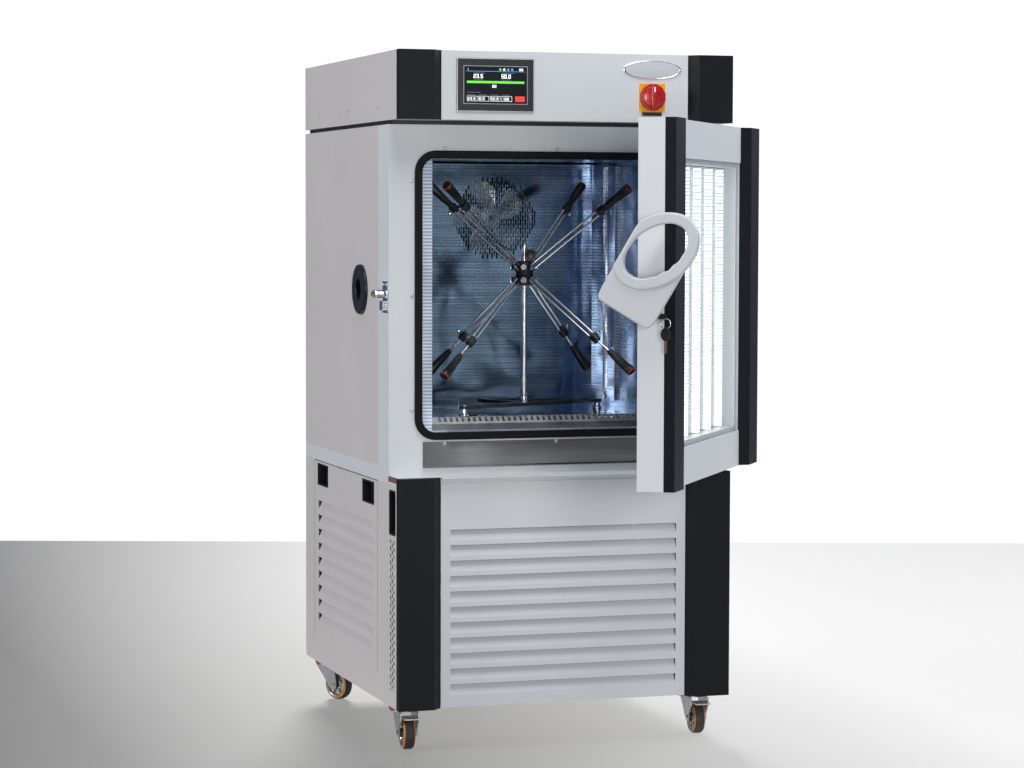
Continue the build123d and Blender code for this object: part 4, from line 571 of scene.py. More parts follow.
def buildHandle():
    # Angle t runs round the hole and w from the hole to the outline. The height is a plate that steps up to
    # the ring inside its oval, and both rims are quarter rounds.
    shape = handleShape
    t = np.linspace(0, 2 * math.pi, shape["steps"], endpoint=False)
    cosT, sinT = np.cos(t), np.sin(t)
    fingers = np.clip(np.cos(t - math.radians(-30)), 0, 1) ** 2
    hole = leaningOval(t, shape["gripHalfLength"], shape["gripHalfWidth"])
    hole = hole + shape["waves"] * np.sin(11 * t) * fingers
    far = 1e5
    toLeft = np.where(cosT < -1e-3, shape["left"] / np.clip(-cosT, 1e-3, 1), far)
    toRight = np.where(cosT > 1e-3, shape["right"] / np.clip(cosT, 1e-3, 1), far)
    toBottom = np.where(sinT < -1e-3, shape["tail"] / np.clip(-sinT, 1e-3, 1), far)
    ringEdge = softCorner([leaningOval(t, shape["ringHalfLength"], shape["ringHalfWidth"]), toLeft], 26)
    tail = np.where(sinT < 0, softCorner([toLeft, toRight, toBottom], 14), 0)
    outer = np.maximum(ringEdge, tail)
    span = outer - hole
    w = 0.5 - 0.5 * np.cos(np.linspace(0, 1, shape["across"]) * math.pi)
    distance = span[:, None] * w[None, :]
    toStep = (ringEdge - hole)[:, None] - distance
    blend = np.clip(toStep / 5.0 + 0.5, 0, 1)
    blend = blend * blend * (3 - 2 * blend)
    whole = np.clip(1.5 - (outer - ringEdge) / 3.0, 0, 1)[:, None]
    blend = whole + (1 - whole) * blend
    height = shape["plate"] + (shape["ring"] - shape["plate"]) * blend
    rim = np.minimum(distance, span[:, None] - distance)
    edge = shape["edge"]
    fall = edge - np.sqrt(np.clip(edge ** 2 - np.clip(edge - rim, 0, None) ** 2, 0, None))
    backFall = 2.0 - np.sqrt(np.clip(4.0 - np.clip(2.0 - rim, 0, None) ** 2, 0, None))
    radius = hole[:, None] + distance
    frontGrid = np.stack([radius * cosT[:, None], radius * sinT[:, None], height - fall], -1)
    backGrid = np.stack([radius * cosT[:, None], radius * sinT[:, None], backFall], -1)[:, ::-1]
    local = np.concatenate([frontGrid, backGrid], axis=1)
    tilt = math.radians(shape["tilt"])
    across = np.array([0, -math.cos(tilt), -math.sin(tilt)])
    along = np.array([0, -math.sin(tilt), math.cos(tilt)])
    out = np.array([-1.0, 0, 0])
    centre = np.array([shape["backX"], shape["ringY"], shape["ringZ"]])
    points = centre + local[..., 0:1] * across + local[..., 1:2] * along + local[..., 2:3] * out
    faces = gridFaces(points.shape[0], points.shape[1], True, True)
    piece = meshObject("handlePaddle", toMetres(swingOpen(points)), faces, materials["handleGrey"])
    return place(piece, "door_handle", "grey_plastic", "handle")


def buildHandleBack():
    # Spindle and latch finger on the handle's back; the finger is an arc bar about the spindle
    shape = {"pivotY": 50.0, "pivotZ": 1107.0, "radius": 84.0, "width": 8.0,
             "start": 27.5, "sweep": 22.0, "reach": 24.0, "endX": -431.3, "spindle": 7.0}
    backX, pivot = handleShape["backX"], (shape["pivotY"], shape["pivotZ"])
    bar = roundBar((backX, *pivot), (shape["endX"], *pivot), shape["spindle"])
    spindle = turnedGroup("handleSpindle", [bar], materials["brightSteel"], pose=swingOpen)
    place(spindle, "door_handle", "grey_plastic")
    angle = np.radians(shape["start"] + shape["sweep"] * np.linspace(0, 1, 24))
    width, reach = shape["width"], shape["reach"]
    section = np.array([(0, 0), (width, 0), (width, reach), (0, reach)], float)
    radius = shape["radius"] + section[None, :, 0]
    points = np.stack([np.broadcast_to(backX + section[None, :, 1], (24, 4)),
                       shape["pivotY"] + radius * np.cos(angle)[:, None],
                       shape["pivotZ"] + radius * np.sin(angle)[:, None]], -1)
    faces = np.concatenate([gridFaces(24, 4, False, True), [[0, 1, 2, 3]], [[95, 94, 93, 92]]])
    finger = meshObject("latchFinger", toMetres(swingOpen(points)), faces, materials["zinc"])
    place(finger, "door_handle", "grey_plastic")


buildHandle()
buildHandleBack()
print("handle built")


# Castor wheels: dark tread, amber tyre ring, ribbed metal rim and dark hub, under a red dust ring
castorShape = {"trail": 35.0, "radius": 40.0, "half": 15.0, "insetX": 48.0, "pockets": 6,
               "spots": {"front_left": (-1, 128.0, 266.0), "front_right": (1, 128.0, 265.4),
                         "rear_left": (-1, 876.0, 300.8), "rear_right": (1, 876.0, 283.0)}}


def wheelRibs(name, start, axle):
    # Flat ribs from hub to rim, as wide as the wheel: boxes laid along the radius at even angles
    axis, side, over = axisFrame(axle)
    count = castorShape["pockets"]
    angle = np.arange(count) * 2 * math.pi / count
    radial = np.cos(angle)[:, None] * side + np.sin(angle)[:, None] * over
    tangent = -np.sin(angle)[:, None] * side + np.cos(angle)[:, None] * over
    corners = boxPoints((12, -2.2, 3.2), (31, 2.2, 26.8))
    points = (start + corners[None, :, 0:1] * radial[:, None] + corners[None, :, 1:2] * tangent[:, None]
              + corners[None, :, 2:3] * axis)
    faces = np.concatenate([boxFaces + 8 * index for index in range(count)])
    return meshObject(name, toMetres(points), faces, materials["zinc"], smooth=False)


def buildCastors():
    # Turned about each axle, from profiles of (radius, distance along the axle)
    for corner, (side, setback, heading) in castorShape["spots"].items():
        turn = math.radians(heading)
        swivelX = side * (cabinet["width"] / 2 - castorShape["insetX"])
        centre = np.array([swivelX + castorShape["trail"] * math.cos(turn),
                           setback + castorShape["trail"] * math.sin(turn), castorShape["radius"]])
        axle = np.array([-math.sin(turn), math.cos(turn), 0.0])
        half, radius = castorShape["half"], castorShape["radius"]
        start = centre - axle * half
        tread = [(36, 3.2), (37.9, 3.6), (39.3, 5.4), (radius, 8.0),
                 (radius, 22.0), (39.3, 24.6), (37.9, 26.4), (36, 26.8)]
        amber = [(31.5, 1.4), (33, 0.5), (35.6, 0.9), (37.6, 2.6), (37.8, 3.7), (37.8, 26.3), (37.6, 27.4),
                 (35.6, 29.1), (33, 29.5), (31.5, 28.6)]
        rim = [(12.4, 2.0), (14, 2.4), (16, 8.0), (26, 8.6), (29.0, 3.0), (31.7, 1.8),
               (31.7, 28.2), (29.0, 27.0), (26, 21.4), (16, 22.0), (14, 27.6), (12.4, 28.0)]
        for name, profile, finish, *replaced in (
                ("wheelTread", tread, "castorTread", f"castor_wheel_{corner}"),
                ("wheelTyre", amber, "castorAmber"), ("wheelRim", rim, "zinc")):
            piece = turnedGroup(f"{name}.{corner}", [(start, axle, profile)], materials[finish], 64)
            place(piece, f"wheel_{corner}", "castor_tyre", *replaced)
        place(wheelRibs(f"wheelRibs.{corner}", start, axle), f"wheel_{corner}", "castor_tyre")
        cap = [(4.1, -4.6), (10.2, -4.6), (11, -3.8), (11, 2.6), (13.4, 3.4),
               (13.4, 26.6), (11, 27.4), (11, 33.8), (10.2, 34.6), (4.1, 34.6)]
        piece = turnedGroup(f"wheelHub.{corner}", [(start, axle, cap)], materials["castorTread"], 40)
        place(piece, f"wheel_{corner}", "castor_tyre")
        swivel = np.array([swivelX, setback, 94.1])
        ring = [(36.1, 0.0), (37.4, 0.6), (38.0, 2.6), (37.6, 5.0), (36.1, 5.8)]
        piece = turnedGroup(f"dustRing.{corner}", [(swivel, (0, 0, 1), ring)], materials["dustRed"], 48)
        place(piece, "cabinet", "galvanised")
        nutSpecs = []
        for sign in (-1, 1):
            nutStart = centre + axle * sign * (half + 8.6)
            nutSpecs.append((nutStart, axle * sign, [(0, 3.6), (3, 3.6), (6.2, 2.8), (6.8, 0), (0, 0)]))
        piece = turnedGroup(f"axleNuts.{corner}", nutSpecs, materials["brightSteel"], 6, smooth=False)
        place(piece, f"castor_{corner}", "galvanised")


buildCastors()
print("castors built")

# Sensor stand: cut-out base plate, feet, pole, hub with thumb screws, arms and probes
standShape = {"poleX": 10.0, "poleY": 380.0, "floor": 797.0, "footHeight": 18.0, "plate": 8.0, "reach": 232.0,
              "headings": (17.0, 115.0, 212.0), "hubBottom": 1119.0, "hubTop": 1182.0, "poleTop": 1223.0,
              "lowerRod": 40.0, "collar": 22.0, "probe": 84.0, "spacing": 6.5,
              "ends": ((220, 178, 1368), (220, 537, 1378), (-200, 537, 1378), (-259, 170, 1372),
                       (220, 150, 907), (220, 490, 900), (-200, 530, 892), (-256, 200, 900))}


def standCorners(reach):
    turn = np.radians(standShape["headings"])
    x, y = standShape["poleX"], standShape["poleY"]
    return np.stack([x + reach * np.cos(turn), y + reach * np.sin(turn)], -1)


def roundedTriangle(corners, radius, count=20):
    # Each corner is an arc of the given radius about its point, swept between its two sides' normals
    middle = corners.mean(0)
    outline = []
    for index in range(3):
        before = corners[index] - corners[index - 1]
        after = corners[(index + 1) % 3] - corners[index]
        a0 = math.atan2(before[1], before[0]) - math.pi / 2
        a1 = math.atan2(after[1], after[0]) - math.pi / 2
        while a1 < a0:
            a1 += 2 * math.pi
        a = np.linspace(a0, a1, count)
        outline.append(corners[index] + radius * np.stack([np.cos(a), np.sin(a)], -1))
    return np.concatenate(outline), middle


def buildStandPlate():
    # A flat ring between a rounded triangle and a smaller one, with three spokes to the pole
    outer, middle = roundedTriangle(standCorners(standShape["reach"]), 13.0)
    inner = middle + (outer - middle) * 0.62
    low = standShape["floor"] + standShape["footHeight"]
    high = low + standShape["plate"]
    loops = [(outer, low), (outer, high - 1), (outer + (middle - outer) * 0.004, high),
             (inner, high), (inner, low)]
    points = np.stack([np.concatenate([loop, np.full((len(loop), 1), z)], 1) for loop, z in loops])
    faces = gridFaces(points.shape[0], points.shape[1], True, True)
    plate = meshObject("standPlate", toMetres(points), faces, materials["blackPlastic"])
    place(plate, "cabinet", "bright_stainless", "sensor_stand")
    centre = np.array([standShape["poleX"], standShape["poleY"]])
    bars = []
    for corner in standCorners(standShape["reach"] * 0.93):
        run = corner - centre
        side = np.array([-run[1], run[0]]) / np.linalg.norm(run) * 15
        bars.append(np.array([[*(centre + side), low + 0.3], [*(centre - side), low + 0.3],
                              [*(corner - side), low + 0.3], [*(corner + side), low + 0.3]]))
    tops = [bar + np.array([0, 0, standShape["plate"] - 0.6]) for bar in bars]
    barPoints = np.concatenate([np.concatenate([b, t]) for b, t in zip(bars, tops)])
    one = np.array([[0, 3, 2, 1], [4, 5, 6, 7], [0, 1, 5, 4], [1, 2, 6, 5], [2, 3, 7, 6], [3, 0, 4, 7]])
    spokes = meshObject("standSpokes", toMetres(barPoints), np.concatenate([one + 8 * i for i in range(3)]),
                        materials["blackPlastic"], smooth=False)
    place(spokes, "cabinet", "bright_stainless")


def buildStandMetal():
    # Turned feet and pole foot, and a straight bar up to the top of the pole
    specs = []
    for x, y in standCorners(standShape["reach"]):
        foot = [(0, 0), (11, 0), (13, 1.5), (13, 6), (9, 8), (8, 18), (8, 27), (5, 28.5), (0, 28.5)]
        specs.append(((x, y, standShape["floor"]), (0, 0, 1), foot))
    low = standShape["floor"] + standShape["footHeight"]
    collar = [(0, 0), (22, 0), (22, 9), (14, 12), (14, 24), (7.5, 26)]
    specs.append(((standShape["poleX"], standShape["poleY"], low), (0, 0, 1), collar))
    specs.append(roundBar((standShape["poleX"], standShape["poleY"], low + 20),
                          (standShape["poleX"], standShape["poleY"], standShape["poleTop"]), 7.5))
    piece = turnedGroup("standPole", specs, materials["brightSteel"], 36)
    place(piece, "cabinet", "bright_stainless")


def armLine(end):
    # Start on the rim of the hub, unit direction and length of the straight line to an end
    middle = (standShape["hubBottom"] + standShape["hubTop"]) / 2
    centre = np.array([standShape["poleX"], standShape["poleY"], middle])
    run = np.array(end, float) - centre
    length = np.linalg.norm(run)
    reach = 24.0 / math.hypot(run[0], run[1]) * length
    return centre + run / length * reach, run / length, length - reach


def buildHub():
    # Turned hub round the pole, and thumb screws turned about lines that point outwards
    x, y = standShape["poleX"], standShape["poleY"]
    hub = [(7.5, 0), (21, 0), (24, 2), (24, 26), (22.5, 28),
           (22.5, 35), (24, 37), (24, 61), (21, 63), (7.5, 63)]
    turned = ((x, y, standShape["hubBottom"]), (0, 0, 1), hub)
    piece = turnedGroup("standHub", [turned], materials["blackPlastic"], 48)
    place(piece, "cabinet", "black_plastic")
    thumbScrew = [(0, 0), (3, 0), (3, 4), (7.2, 4), (7.8, 5), (7.8, 12), (7.0, 13), (0, 13)]
    specs = []
    for level in (1134.0, 1167.0):
        for heading in (20, 70, 110, 160, 200, 250, 290, 340):
            turn = math.radians(heading)
            out = np.array([math.cos(turn), math.sin(turn), 0])
            start = np.array([x, y, level]) + out * 23.5
            specs.append((start, out, thumbScrew))
    piece = turnedGroup("hubThumbScrews", specs, materials["brightSteel"], 20)
    place(piece, "cabinet", "bright_stainless")


def buildArms():
    # Profiles as radius and height along each arm
    wingScrew = [(0, 0), (3, 0), (3, 12), (5, 13), (6.8, 16), (7.2, 19), (6.4, 20), (0, 20)]
    probeHead = [(0, 0), (6, 0), (7, 1), (7.4, 8), (8.2, 8.6), (8.6, 20), (9.2, 20.6), (11.6, 69),
                 (12.3, 70), (12.3, 82.0), (11.6, 83.0), (0, 83.0)]
    probeRing = [(12.2, 0), (12.5, 0.4), (12.5, 1.6), (11.7, 2.5), (11.3, 2.5), (11.3, 2.0)]
    probeTip = [(0, 0.8), (3, 0.9), (8.6, 0.9), (9.4, 0.5), (9.6, 0)]
    centreHead = [(0, 0), (10, 0), (13, 3), (13, 16), (14.2, 18), (14.2, 22.4), (13.4, 23.2), (0, 23.2)]
    centreRing = [(14.1, 0), (14.5, 0.4), (14.5, 1.6), (13.6, 2.6), (13.1, 2.6), (13.1, 2.1)]
    centreTip = [(0, 0.8), (3, 0.9), (10.4, 0.9), (11.2, 0.5), (11.4, 0)]
    rods, collars, screws, heads, rings, tips = [], [], [], [], [], []
    for end in standShape["ends"]:
        start, along, length = armLine(end)
        beside = np.cross(along, (0, 0, 1))
        beside /= np.linalg.norm(beside)
        lowerRod = standShape["lowerRod"] if along[2] < 0 else 0
        collarStart = start + along * (length - standShape["probe"] - lowerRod - standShape["collar"])
        for sign in (-1, 1):
            shift = np.cross(beside, along) * sign * standShape["spacing"]
            rods.append(roundBar(start + shift, collarStart + along * 22 + shift, 3.0))
        rods.append(roundBar(collarStart, start + along * (length - standShape["probe"] + 2), 3.0))
        collars.append((collarStart, along, [(0, 0), (10, 0), (11, 1), (11, 21), (10, 22), (0, 22)]))
        down = np.cross(beside, along)
        down = down if down[2] < 0 else -down
        if along[2] < 0:
            down = -down
        screws.append((collarStart + along * 11, down, wingScrew))
        root = start + along * (length - standShape["probe"])
        heads.append((root, along, probeHead))
        rings.append((root + along * 80.9, along, probeRing))
        tips.append((root + along * 82.9, along, probeTip))
    x, y = standShape["poleX"], standShape["poleY"]
    aim = np.array([-0.25, -0.95, 0.15])
    aim /= np.linalg.norm(aim)
    centreRoot = np.array([x + 13, y - 8, 1195.0])
    heads.append((centreRoot, aim, centreHead))
    rings.append((centreRoot + aim * 21.0, aim, centreRing))
    tips.append((centreRoot + aim * 23.1, aim, centreTip))
    piece = turnedGroup("armRods", rods, materials["brightSteel"], 20)
    place(piece, "cabinet", "bright_stainless", "sensor_arms")
    place(turnedGroup("armCollars", collars, materials["blackPlastic"], 28), "cabinet", "black_plastic")
    place(turnedGroup("armScrews", screws, materials["brightSteel"], 18), "cabinet", "bright_stainless")
    piece = turnedGroup("probeHeads", heads, materials["blackPlastic"], 32)
    place(piece, "cabinet", "black_plastic", "sensor_probes")
    place(turnedGroup("probeRings", rings, materials["orangeRing"], 32), "cabinet", "black_plastic")
    place(turnedGroup("probeTips", tips, materials["machineEnamel"], 24), "cabinet", "black_plastic")


buildStandPlate()
buildStandMetal()
buildHub()
buildArms()
print("sensor stand built")

# Circulation fan: five broad cambered blades on a domed hub
fanShape = {"x": 42.0, "z": 1291.0, "front": 771.0, "back": 805.0, "root": 26.0, "tip": 103.0,
            "blades": 5, "spanSteps": 14, "chordSteps": 16}


def buildFan():
    # Each blade is a grid over span and chord: radius grows along the span, and the chord sweeps an angle
    # while it climbs along the axis, with a little camber
    rows, columns = fanShape["spanSteps"], fanShape["chordSteps"]
    span, chord = np.linspace(0, 1, rows), np.linspace(0, 1, columns)
    s, c = np.meshgrid(span, chord, indexing="ij")
    radius = fanShape["root"] + (fanShape["tip"] - fanShape["root"]) * s
    width = np.radians(38 + 12 * np.sin(math.pi * s ** 0.8))
    middle = (fanShape["front"] + fanShape["back"]) / 2
    allPoints, allFaces = [], []
    for blade in range(fanShape["blades"]):
        turn = 2 * math.pi * blade / fanShape["blades"] + 0.3
        angle = turn + (c - 0.5) * width + 0.35 * s
        corner = 1 - 0.12 * np.clip(s - 0.8, 0, 1) / 0.2 * np.abs(2 * c - 1) ** 3
        depth = middle + (c - 0.5) * 26 * (1 - 0.25 * s) - 5 * np.sin(math.pi * c)
        points = np.stack([fanShape["x"] + radius * corner * np.cos(angle), depth,
                           fanShape["z"] + radius * corner * np.sin(angle)], -1)
        allPoints.append(points.reshape(-1, 3))
        allFaces.append(gridFaces(rows, columns, False, False, blade * rows * columns))
    piece = meshObject("fanBlades", toMetres(np.concatenate(allPoints)), np.concatenate(allFaces),
                       materials["fanMetal"])
    wall = piece.modifiers.new("wall", "SOLIDIFY")
    wall.thickness = 0.0018
    place(piece, "circulation_fan", "fan_metal", "circulation_fan")
    hub = [(0, 0), (9, 0.3), (12, 2.0), (24, 3.5), (28.5, 6), (30, 10), (30, 34), (8, 34)]
    piece = turnedGroup("fanHub", [((fanShape["x"], fanShape["front"], fanShape["z"]), (0, 1, 0), hub)],
                        materials["fanMetal"], 48)
    place(piece, "circulation_fan", "fan_metal")


buildFan()
print("fan built")

# Control head: display picture, badge, knob, screws
displayShape = {"x": -180.0, "z": 1609.0, "y": 19.1, "width": 154.0, "height": 85.4,
                "frameWidth": 195.0, "frameHeight": 128.5}
segmentTable = {"0": "abcdef", "1": "bc", "2": "abged", "3": "abgcd", "5": "afgcd", "6": "afgecd", ".": "p"}


def digitBoxes(text, x, z, width, height, stroke):
    # Seven-segment figures as small flat bars, counted from the lower left corner of the first figure
    bars = {"a": (0, 1, 1, 1), "d": (0, 1, 0, 0), "g": (0, 1, 0.5, 0.5), "f": (0, 0, 0.5, 1),
            "e": (0, 0, 0, 0.5), "b": (1, 1, 0.5, 1), "c": (1, 1, 0, 0.5), "p": (0, 0, 0, 0)}
    out = []
    for figure in text:
        for name in segmentTable[figure]:
            x0, x1, z0, z1 = bars[name]
            out.append((x + x0 * width - stroke / 2, x + x1 * width + stroke / 2,
                        z + z0 * height - stroke / 2, z + z1 * height + stroke / 2))
        x += width * (0.75 if figure == "." else 1.75)
    return out


def flatPicture(name, rectangles, lift, material):
    # Thin raised tiles on the glass, given as x0, x1, z0, z1 from the display's lower left corner
    left = displayShape["x"] - displayShape["width"] / 2
    low = displayShape["z"] - displayShape["height"] / 2
    face = displayShape["y"]
    boxes = [((left + x0, face - lift, low + z0), (left + x1, face + 0.05, low + z1))
             for x0, x1, z0, z1 in rectangles]
    return place(boxGroup(name, boxes, material), "cabinet", "screen_glass")


def buildDisplay():
    # Flat tiles counted from the lower left corner of the picture, and two rims of four bars
    figures = digitBoxes("23.5", 22, 59.5, 4.2, 8.0, 1.5) + digitBoxes("50.0", 92, 59.5, 4.2, 8.0, 1.5)
    figures += digitBoxes("1", 6, 78.2, 2.0, 3.6, 0.7) + digitBoxes("60", 69, 37.0, 3.2, 5.6, 1.0)
    for column, text in enumerate(("23.5", "0.0", "50.0", "100")):
        figures += digitBoxes(text, 7.5 + column * 29, 6.6, 3.4, 5.6, 1.0)
    lines = [(5 + 29 * column, 31 + 29 * column, z0, z0 + 0.7) for column in range(4) for z0 in (3.6, 15.2)]
    lines += [(x0, x0 + 0.7, 3.6, 15.9)
              for column in range(4) for x0 in (5 + 29 * column, 30.3 + 29 * column)]
    flatPicture("uiFigures", figures + lines, 0.20, materials["uiWhite"])
    tiles = [(5 + 29 * column, 26 + 29 * column, 18.0, 19.6) for column in range(4)]
    tiles += [(5, 40, 24.0, 25.4), (22, 50, 70.4, 71.8), (92, 124, 70.4, 71.8),
              (22, 46, 54.6, 55.8), (92, 116, 54.6, 55.8)]
    flatPicture("uiTiles", tiles, 0.10, materials["uiGrey"])
    flatPicture("uiGreenBar", [(5, 149, 46.6, 52.2), (86, 91, 77.4, 82.4)], 0.12, materials["uiGreen"])
    flatPicture("uiBlueLine", [(3, 151, 74.6, 75.6), (106, 111, 77.4, 82.4), (116, 121, 77.4, 82.4)], 0.12,
                materials["uiBlue"])
    flatPicture("uiRedKey", [(126, 150, 3.4, 16.2)], 0.12, materials["uiRed"])
    icons = [(96, 101, 77.4, 82.4)]
    icons += [(x0, x0 + 4.4, z0, z0 + 2.6) for z0 in (80.4, 77.0) for x0 in (136, 141.4)]
    flatPicture("uiWhiteIcons", icons, 0.12, materials["uiWhite"])
    x, z = displayShape["x"], displayShape["z"]
    outer = (displayShape["frameWidth"] / 2, displayShape["frameHeight"] / 2)
    frames = []
    for halfW, halfH, band, near in ((outer[0] - 0.2, outer[1] - 0.2, 2.2, 18.9), (80.6, 45.6, 1.0, 18.85)):
        frames += [((x - halfW, near, z + halfH - band), (x + halfW, 19.2, z + halfH)),
                   ((x - halfW, near, z - halfH), (x + halfW, 19.2, z - halfH + band)),
                   ((x - halfW, near, z - halfH + band), (x - halfW + band, 19.2, z + halfH - band)),
                   ((x + halfW - band, near, z - halfH + band), (x + halfW, 19.2, z + halfH - band))]
    place(boxGroup("displayRims", frames, materials["zinc"]), "cabinet", "bright_stainless")


badgeShape = {"x": 221.0, "z": 1652.5, "halfWidth": 76.0, "halfHeight": 22.5}


def ovalPoints(share, depth, t):
    # Rings of the oval at each share of its size, all set at the given depths
    return np.stack([badgeShape["x"] + badgeShape["halfWidth"] * share * np.cos(t), depth,
                     badgeShape["z"] + badgeShape["halfHeight"] * share * np.sin(t)], -1)


def buildBadge():
    # Oval: a bright rim round a domed pale field
    t = np.linspace(0, 2 * math.pi, 96, endpoint=False)
    profile = np.array([(1.0, 0.0), (1.0, 1.6), (0.985, 2.4), (0.955, 2.8), (0.93, 2.5), (0.92, 2.1)])
    r = profile[:, 0][:, None]
    points = ovalPoints(r, np.broadcast_to(22 - profile[:, 1][:, None], (6, 96)), t)
    rim = meshObject("badgeRim", toMetres(points), gridFaces(6, 96, False, True), materials["brightSteel"])
    place(rim, "cabinet", "bright_stainless")
    r = np.linspace(0.93, 0.001, 14)[:, None]
    points = ovalPoints(r, np.broadcast_to(19.9 - 1.2 * (1 - (r / 0.93) ** 2), (14, 96)), t)
    field = meshObject("badgeField", toMetres(points), gridFaces(14, 96, False, True),
                       materials["handleGrey"])
    place(field, "cabinet", "light_grey_paint")


def buildKnob():
    # Red rotary handle: fluted collar and a raised grip bar with rounded ends
    x, z, back = 220.5, 1586.0, 17.7
    t = np.linspace(0, 2 * math.pi, 144, endpoint=False)
    profile = np.array([(0.05, 0.0), (0.97, 0.0), (1.0, 1.0), (1.0, 6.0), (0.97, 7.0),
                        (0.80, 7.3), (0.76, 9.8), (0.70, 10.6), (0.0, 10.6)])
    flute = 1 - 0.035 * (np.cos(12 * t) > 0.55)[None, :] * (profile[:, 0] > 0.9)[:, None]
    radius = 33.0 * profile[:, 0][:, None] * flute
    points = np.stack([x + radius * np.cos(t), np.broadcast_to(back - profile[:, 1][:, None], radius.shape),
                       z + radius * np.sin(t)], -1)
    piece = meshObject("knobCollar", toMetres(points), gridFaces(9, 144, False, True), materials["redKnob"])
    place(piece, "switch_knob", "red_plastic", "switch_knob")
    t = np.linspace(0, 2 * math.pi, 96, endpoint=False)
    barX = 6.5 * np.sign(np.cos(t)) * np.abs(np.cos(t)) ** 0.45
    barZ = 30.5 * np.sign(np.sin(t)) * np.abs(np.sin(t)) ** 0.30
    levels = np.array([(1.0, 6.9), (1.0, 14.5), (0.93, 16.8), (0.75, 17.9), (0.0, 18.0)])
    share = levels[:, 0][:, None]
    points = np.stack([x + barX[None, :] * share, np.broadcast_to(back - levels[:, 1][:, None], (5, 96)),
                       z + barZ[None, :] * (share * 0.2 + 0.8 * (share > 0))], -1)
    piece = meshObject("knobGrip", toMetres(points), gridFaces(5, 96, False, True), materials["redKnob"])
    place(piece, "switch_knob", "red_plastic")
    marker = boxGroup("knobMark", [((x - 1.1, -0.45, z + 12), (x + 1.1, 0.2, z + 24))], materials["uiWhite"])
    place(marker, "switch_knob", "red_plastic")
    label = boxGroup("switchLabel", [((x - 25.5, 19.8, 1541.0), (x + 25.5, 20.1, 1549.5))],
                     materials["blackPlastic"])
    place(label, "cabinet", "black_plastic")


def buildScrews():
    # Domed heads turned about lines that point to the front
    specs = []
    domed = [(4.6, 0), (4.6, 0.7), (4.0, 1.9), (2.9, 2.5), (2.4, 2.5), (2.2, 1.0), (0, 1.0)]
    spots = [(x, 1458.7, 94.0) for x in (-285, 0, 285)] + [(x, 743.7, 92.0) for x in (-285, 0, 285)]
    spots += [(side * 367.6, z, 94.0) for side in (-1, 1) for z in (825.7, 1102.7, 1379.7)]
    for x, z, seat in spots:
        specs.append(((x, seat, z), (0, -1, 0), domed))
    piece = turnedGroup("frameScrews", specs, materials["zinc"], 20)
    place(piece, "cabinet", "galvanised", "flange_screws")


buildDisplay()
buildBadge()
buildKnob()
buildScrews()
print("control head built")

# Latch side: keys on the door, striker and port ring on the cabinet
keyShape = {"x": -445.0, "z": 1075.0, "front": 39.7, "ringY": 16.7, "ringZ": 1059.5, "ring": 12.0}


def ovalPlate(centre, halfY, halfZ, halfX, hole=None):
    # Flat oval with eased rims; a hole is (y offset, z offset, radius) and stays open through the plate
    t = np.linspace(0, 2 * math.pi, 48, endpoint=False)
    levels = [(-halfX, 0.9), (-halfX * 0.55, 1.0), (halfX * 0.55, 1.0), (halfX, 0.9)]
    inner = np.stack([np.cos(t) * (hole[2] if hole else 0.01), np.sin(t) * (hole[2] if hole else 0.01)], -1)
    inner += np.array(hole[:2] if hole else (0, 0))
    loops = [(levels[0][0], inner)]
    loops += [(x, np.stack([halfY * k * np.cos(t), halfZ * k * np.sin(t)], -1)) for x, k in levels]
    loops += [(levels[-1][0], inner)]
    return np.stack([np.stack([np.full(48, centre[0] + x), centre[1] + yz[:, 0], centre[2] + yz[:, 1]], -1)
                     for x, yz in loops])


def buildKeys():
    # Flat ovals for the bows, a torus for the ring, boxes for the blade and a turned shank
    k = keyShape
    parts, faces, offset = [], [], 0
    for points in (ovalPlate((k["x"], k["front"] - 13.5, k["z"]), 12.8, 6.4, 2.4, (-8.5, -1.5, 2.2)),
                   ovalPlate((k["x"], k["ringY"], 1035.5), 11.0, 14.6, 2.4, (0, 10.0, 2.2))):
        parts.append(points.reshape(-1, 3))
        faces.append(gridFaces(points.shape[0], points.shape[1], True, True, offset))
        offset += points.shape[0] * points.shape[1]
    bows = meshObject("keyBows", toMetres(swingOpen(np.concatenate(parts))), np.concatenate(faces),
                      materials["blackPlastic"])
    place(bows, "key", "key_metal", "lock_key")
    t = np.linspace(0, 2 * math.pi, 64, endpoint=False)
    a = np.linspace(0, 2 * math.pi, 12, endpoint=False)
    radius = k["ring"] - 1.0 + 1.0 * np.cos(a)[None, :]
    ring = np.stack([np.broadcast_to(k["x"] + 1.0 * np.sin(a)[None, :], (64, 12)),
                     k["ringY"] + radius * np.cos(t)[:, None],
                     k["ringZ"] - 0.4 + radius * np.sin(t)[:, None]], -1)
    piece = meshObject("keyRing", toMetres(swingOpen(ring)), gridFaces(64, 12, True, True),
                       materials["brightSteel"])
    place(piece, "key", "key_metal")
    boxes = [((k["x"] - 0.9, k["ringY"] - 3.2, 993.2), (k["x"] + 0.9, k["ringY"] + 3.2, 1022.0))]
    boxes += [((k["x"] - 0.9, k["ringY"] - 3.2 - cut, 996 + 4.4 * i),
               (k["x"] + 0.9, k["ringY"] - 3.0, 998.4 + 4.4 * i))
              for i, cut in enumerate((0.3, 0.2, 0.3, 0.1))]
    blade = boxGroup("spareBlade", boxes, materials["brass"], pose=swingOpen)
    place(blade, "key", "key_metal")
    shank = turnedGroup("keyShank", [roundBar((k["x"], 59.0, k["z"]), (k["x"], 36.0, k["z"]), 2.9)],
                        materials["brass"], 16, pose=swingOpen)
    place(shank, "key", "key_metal")


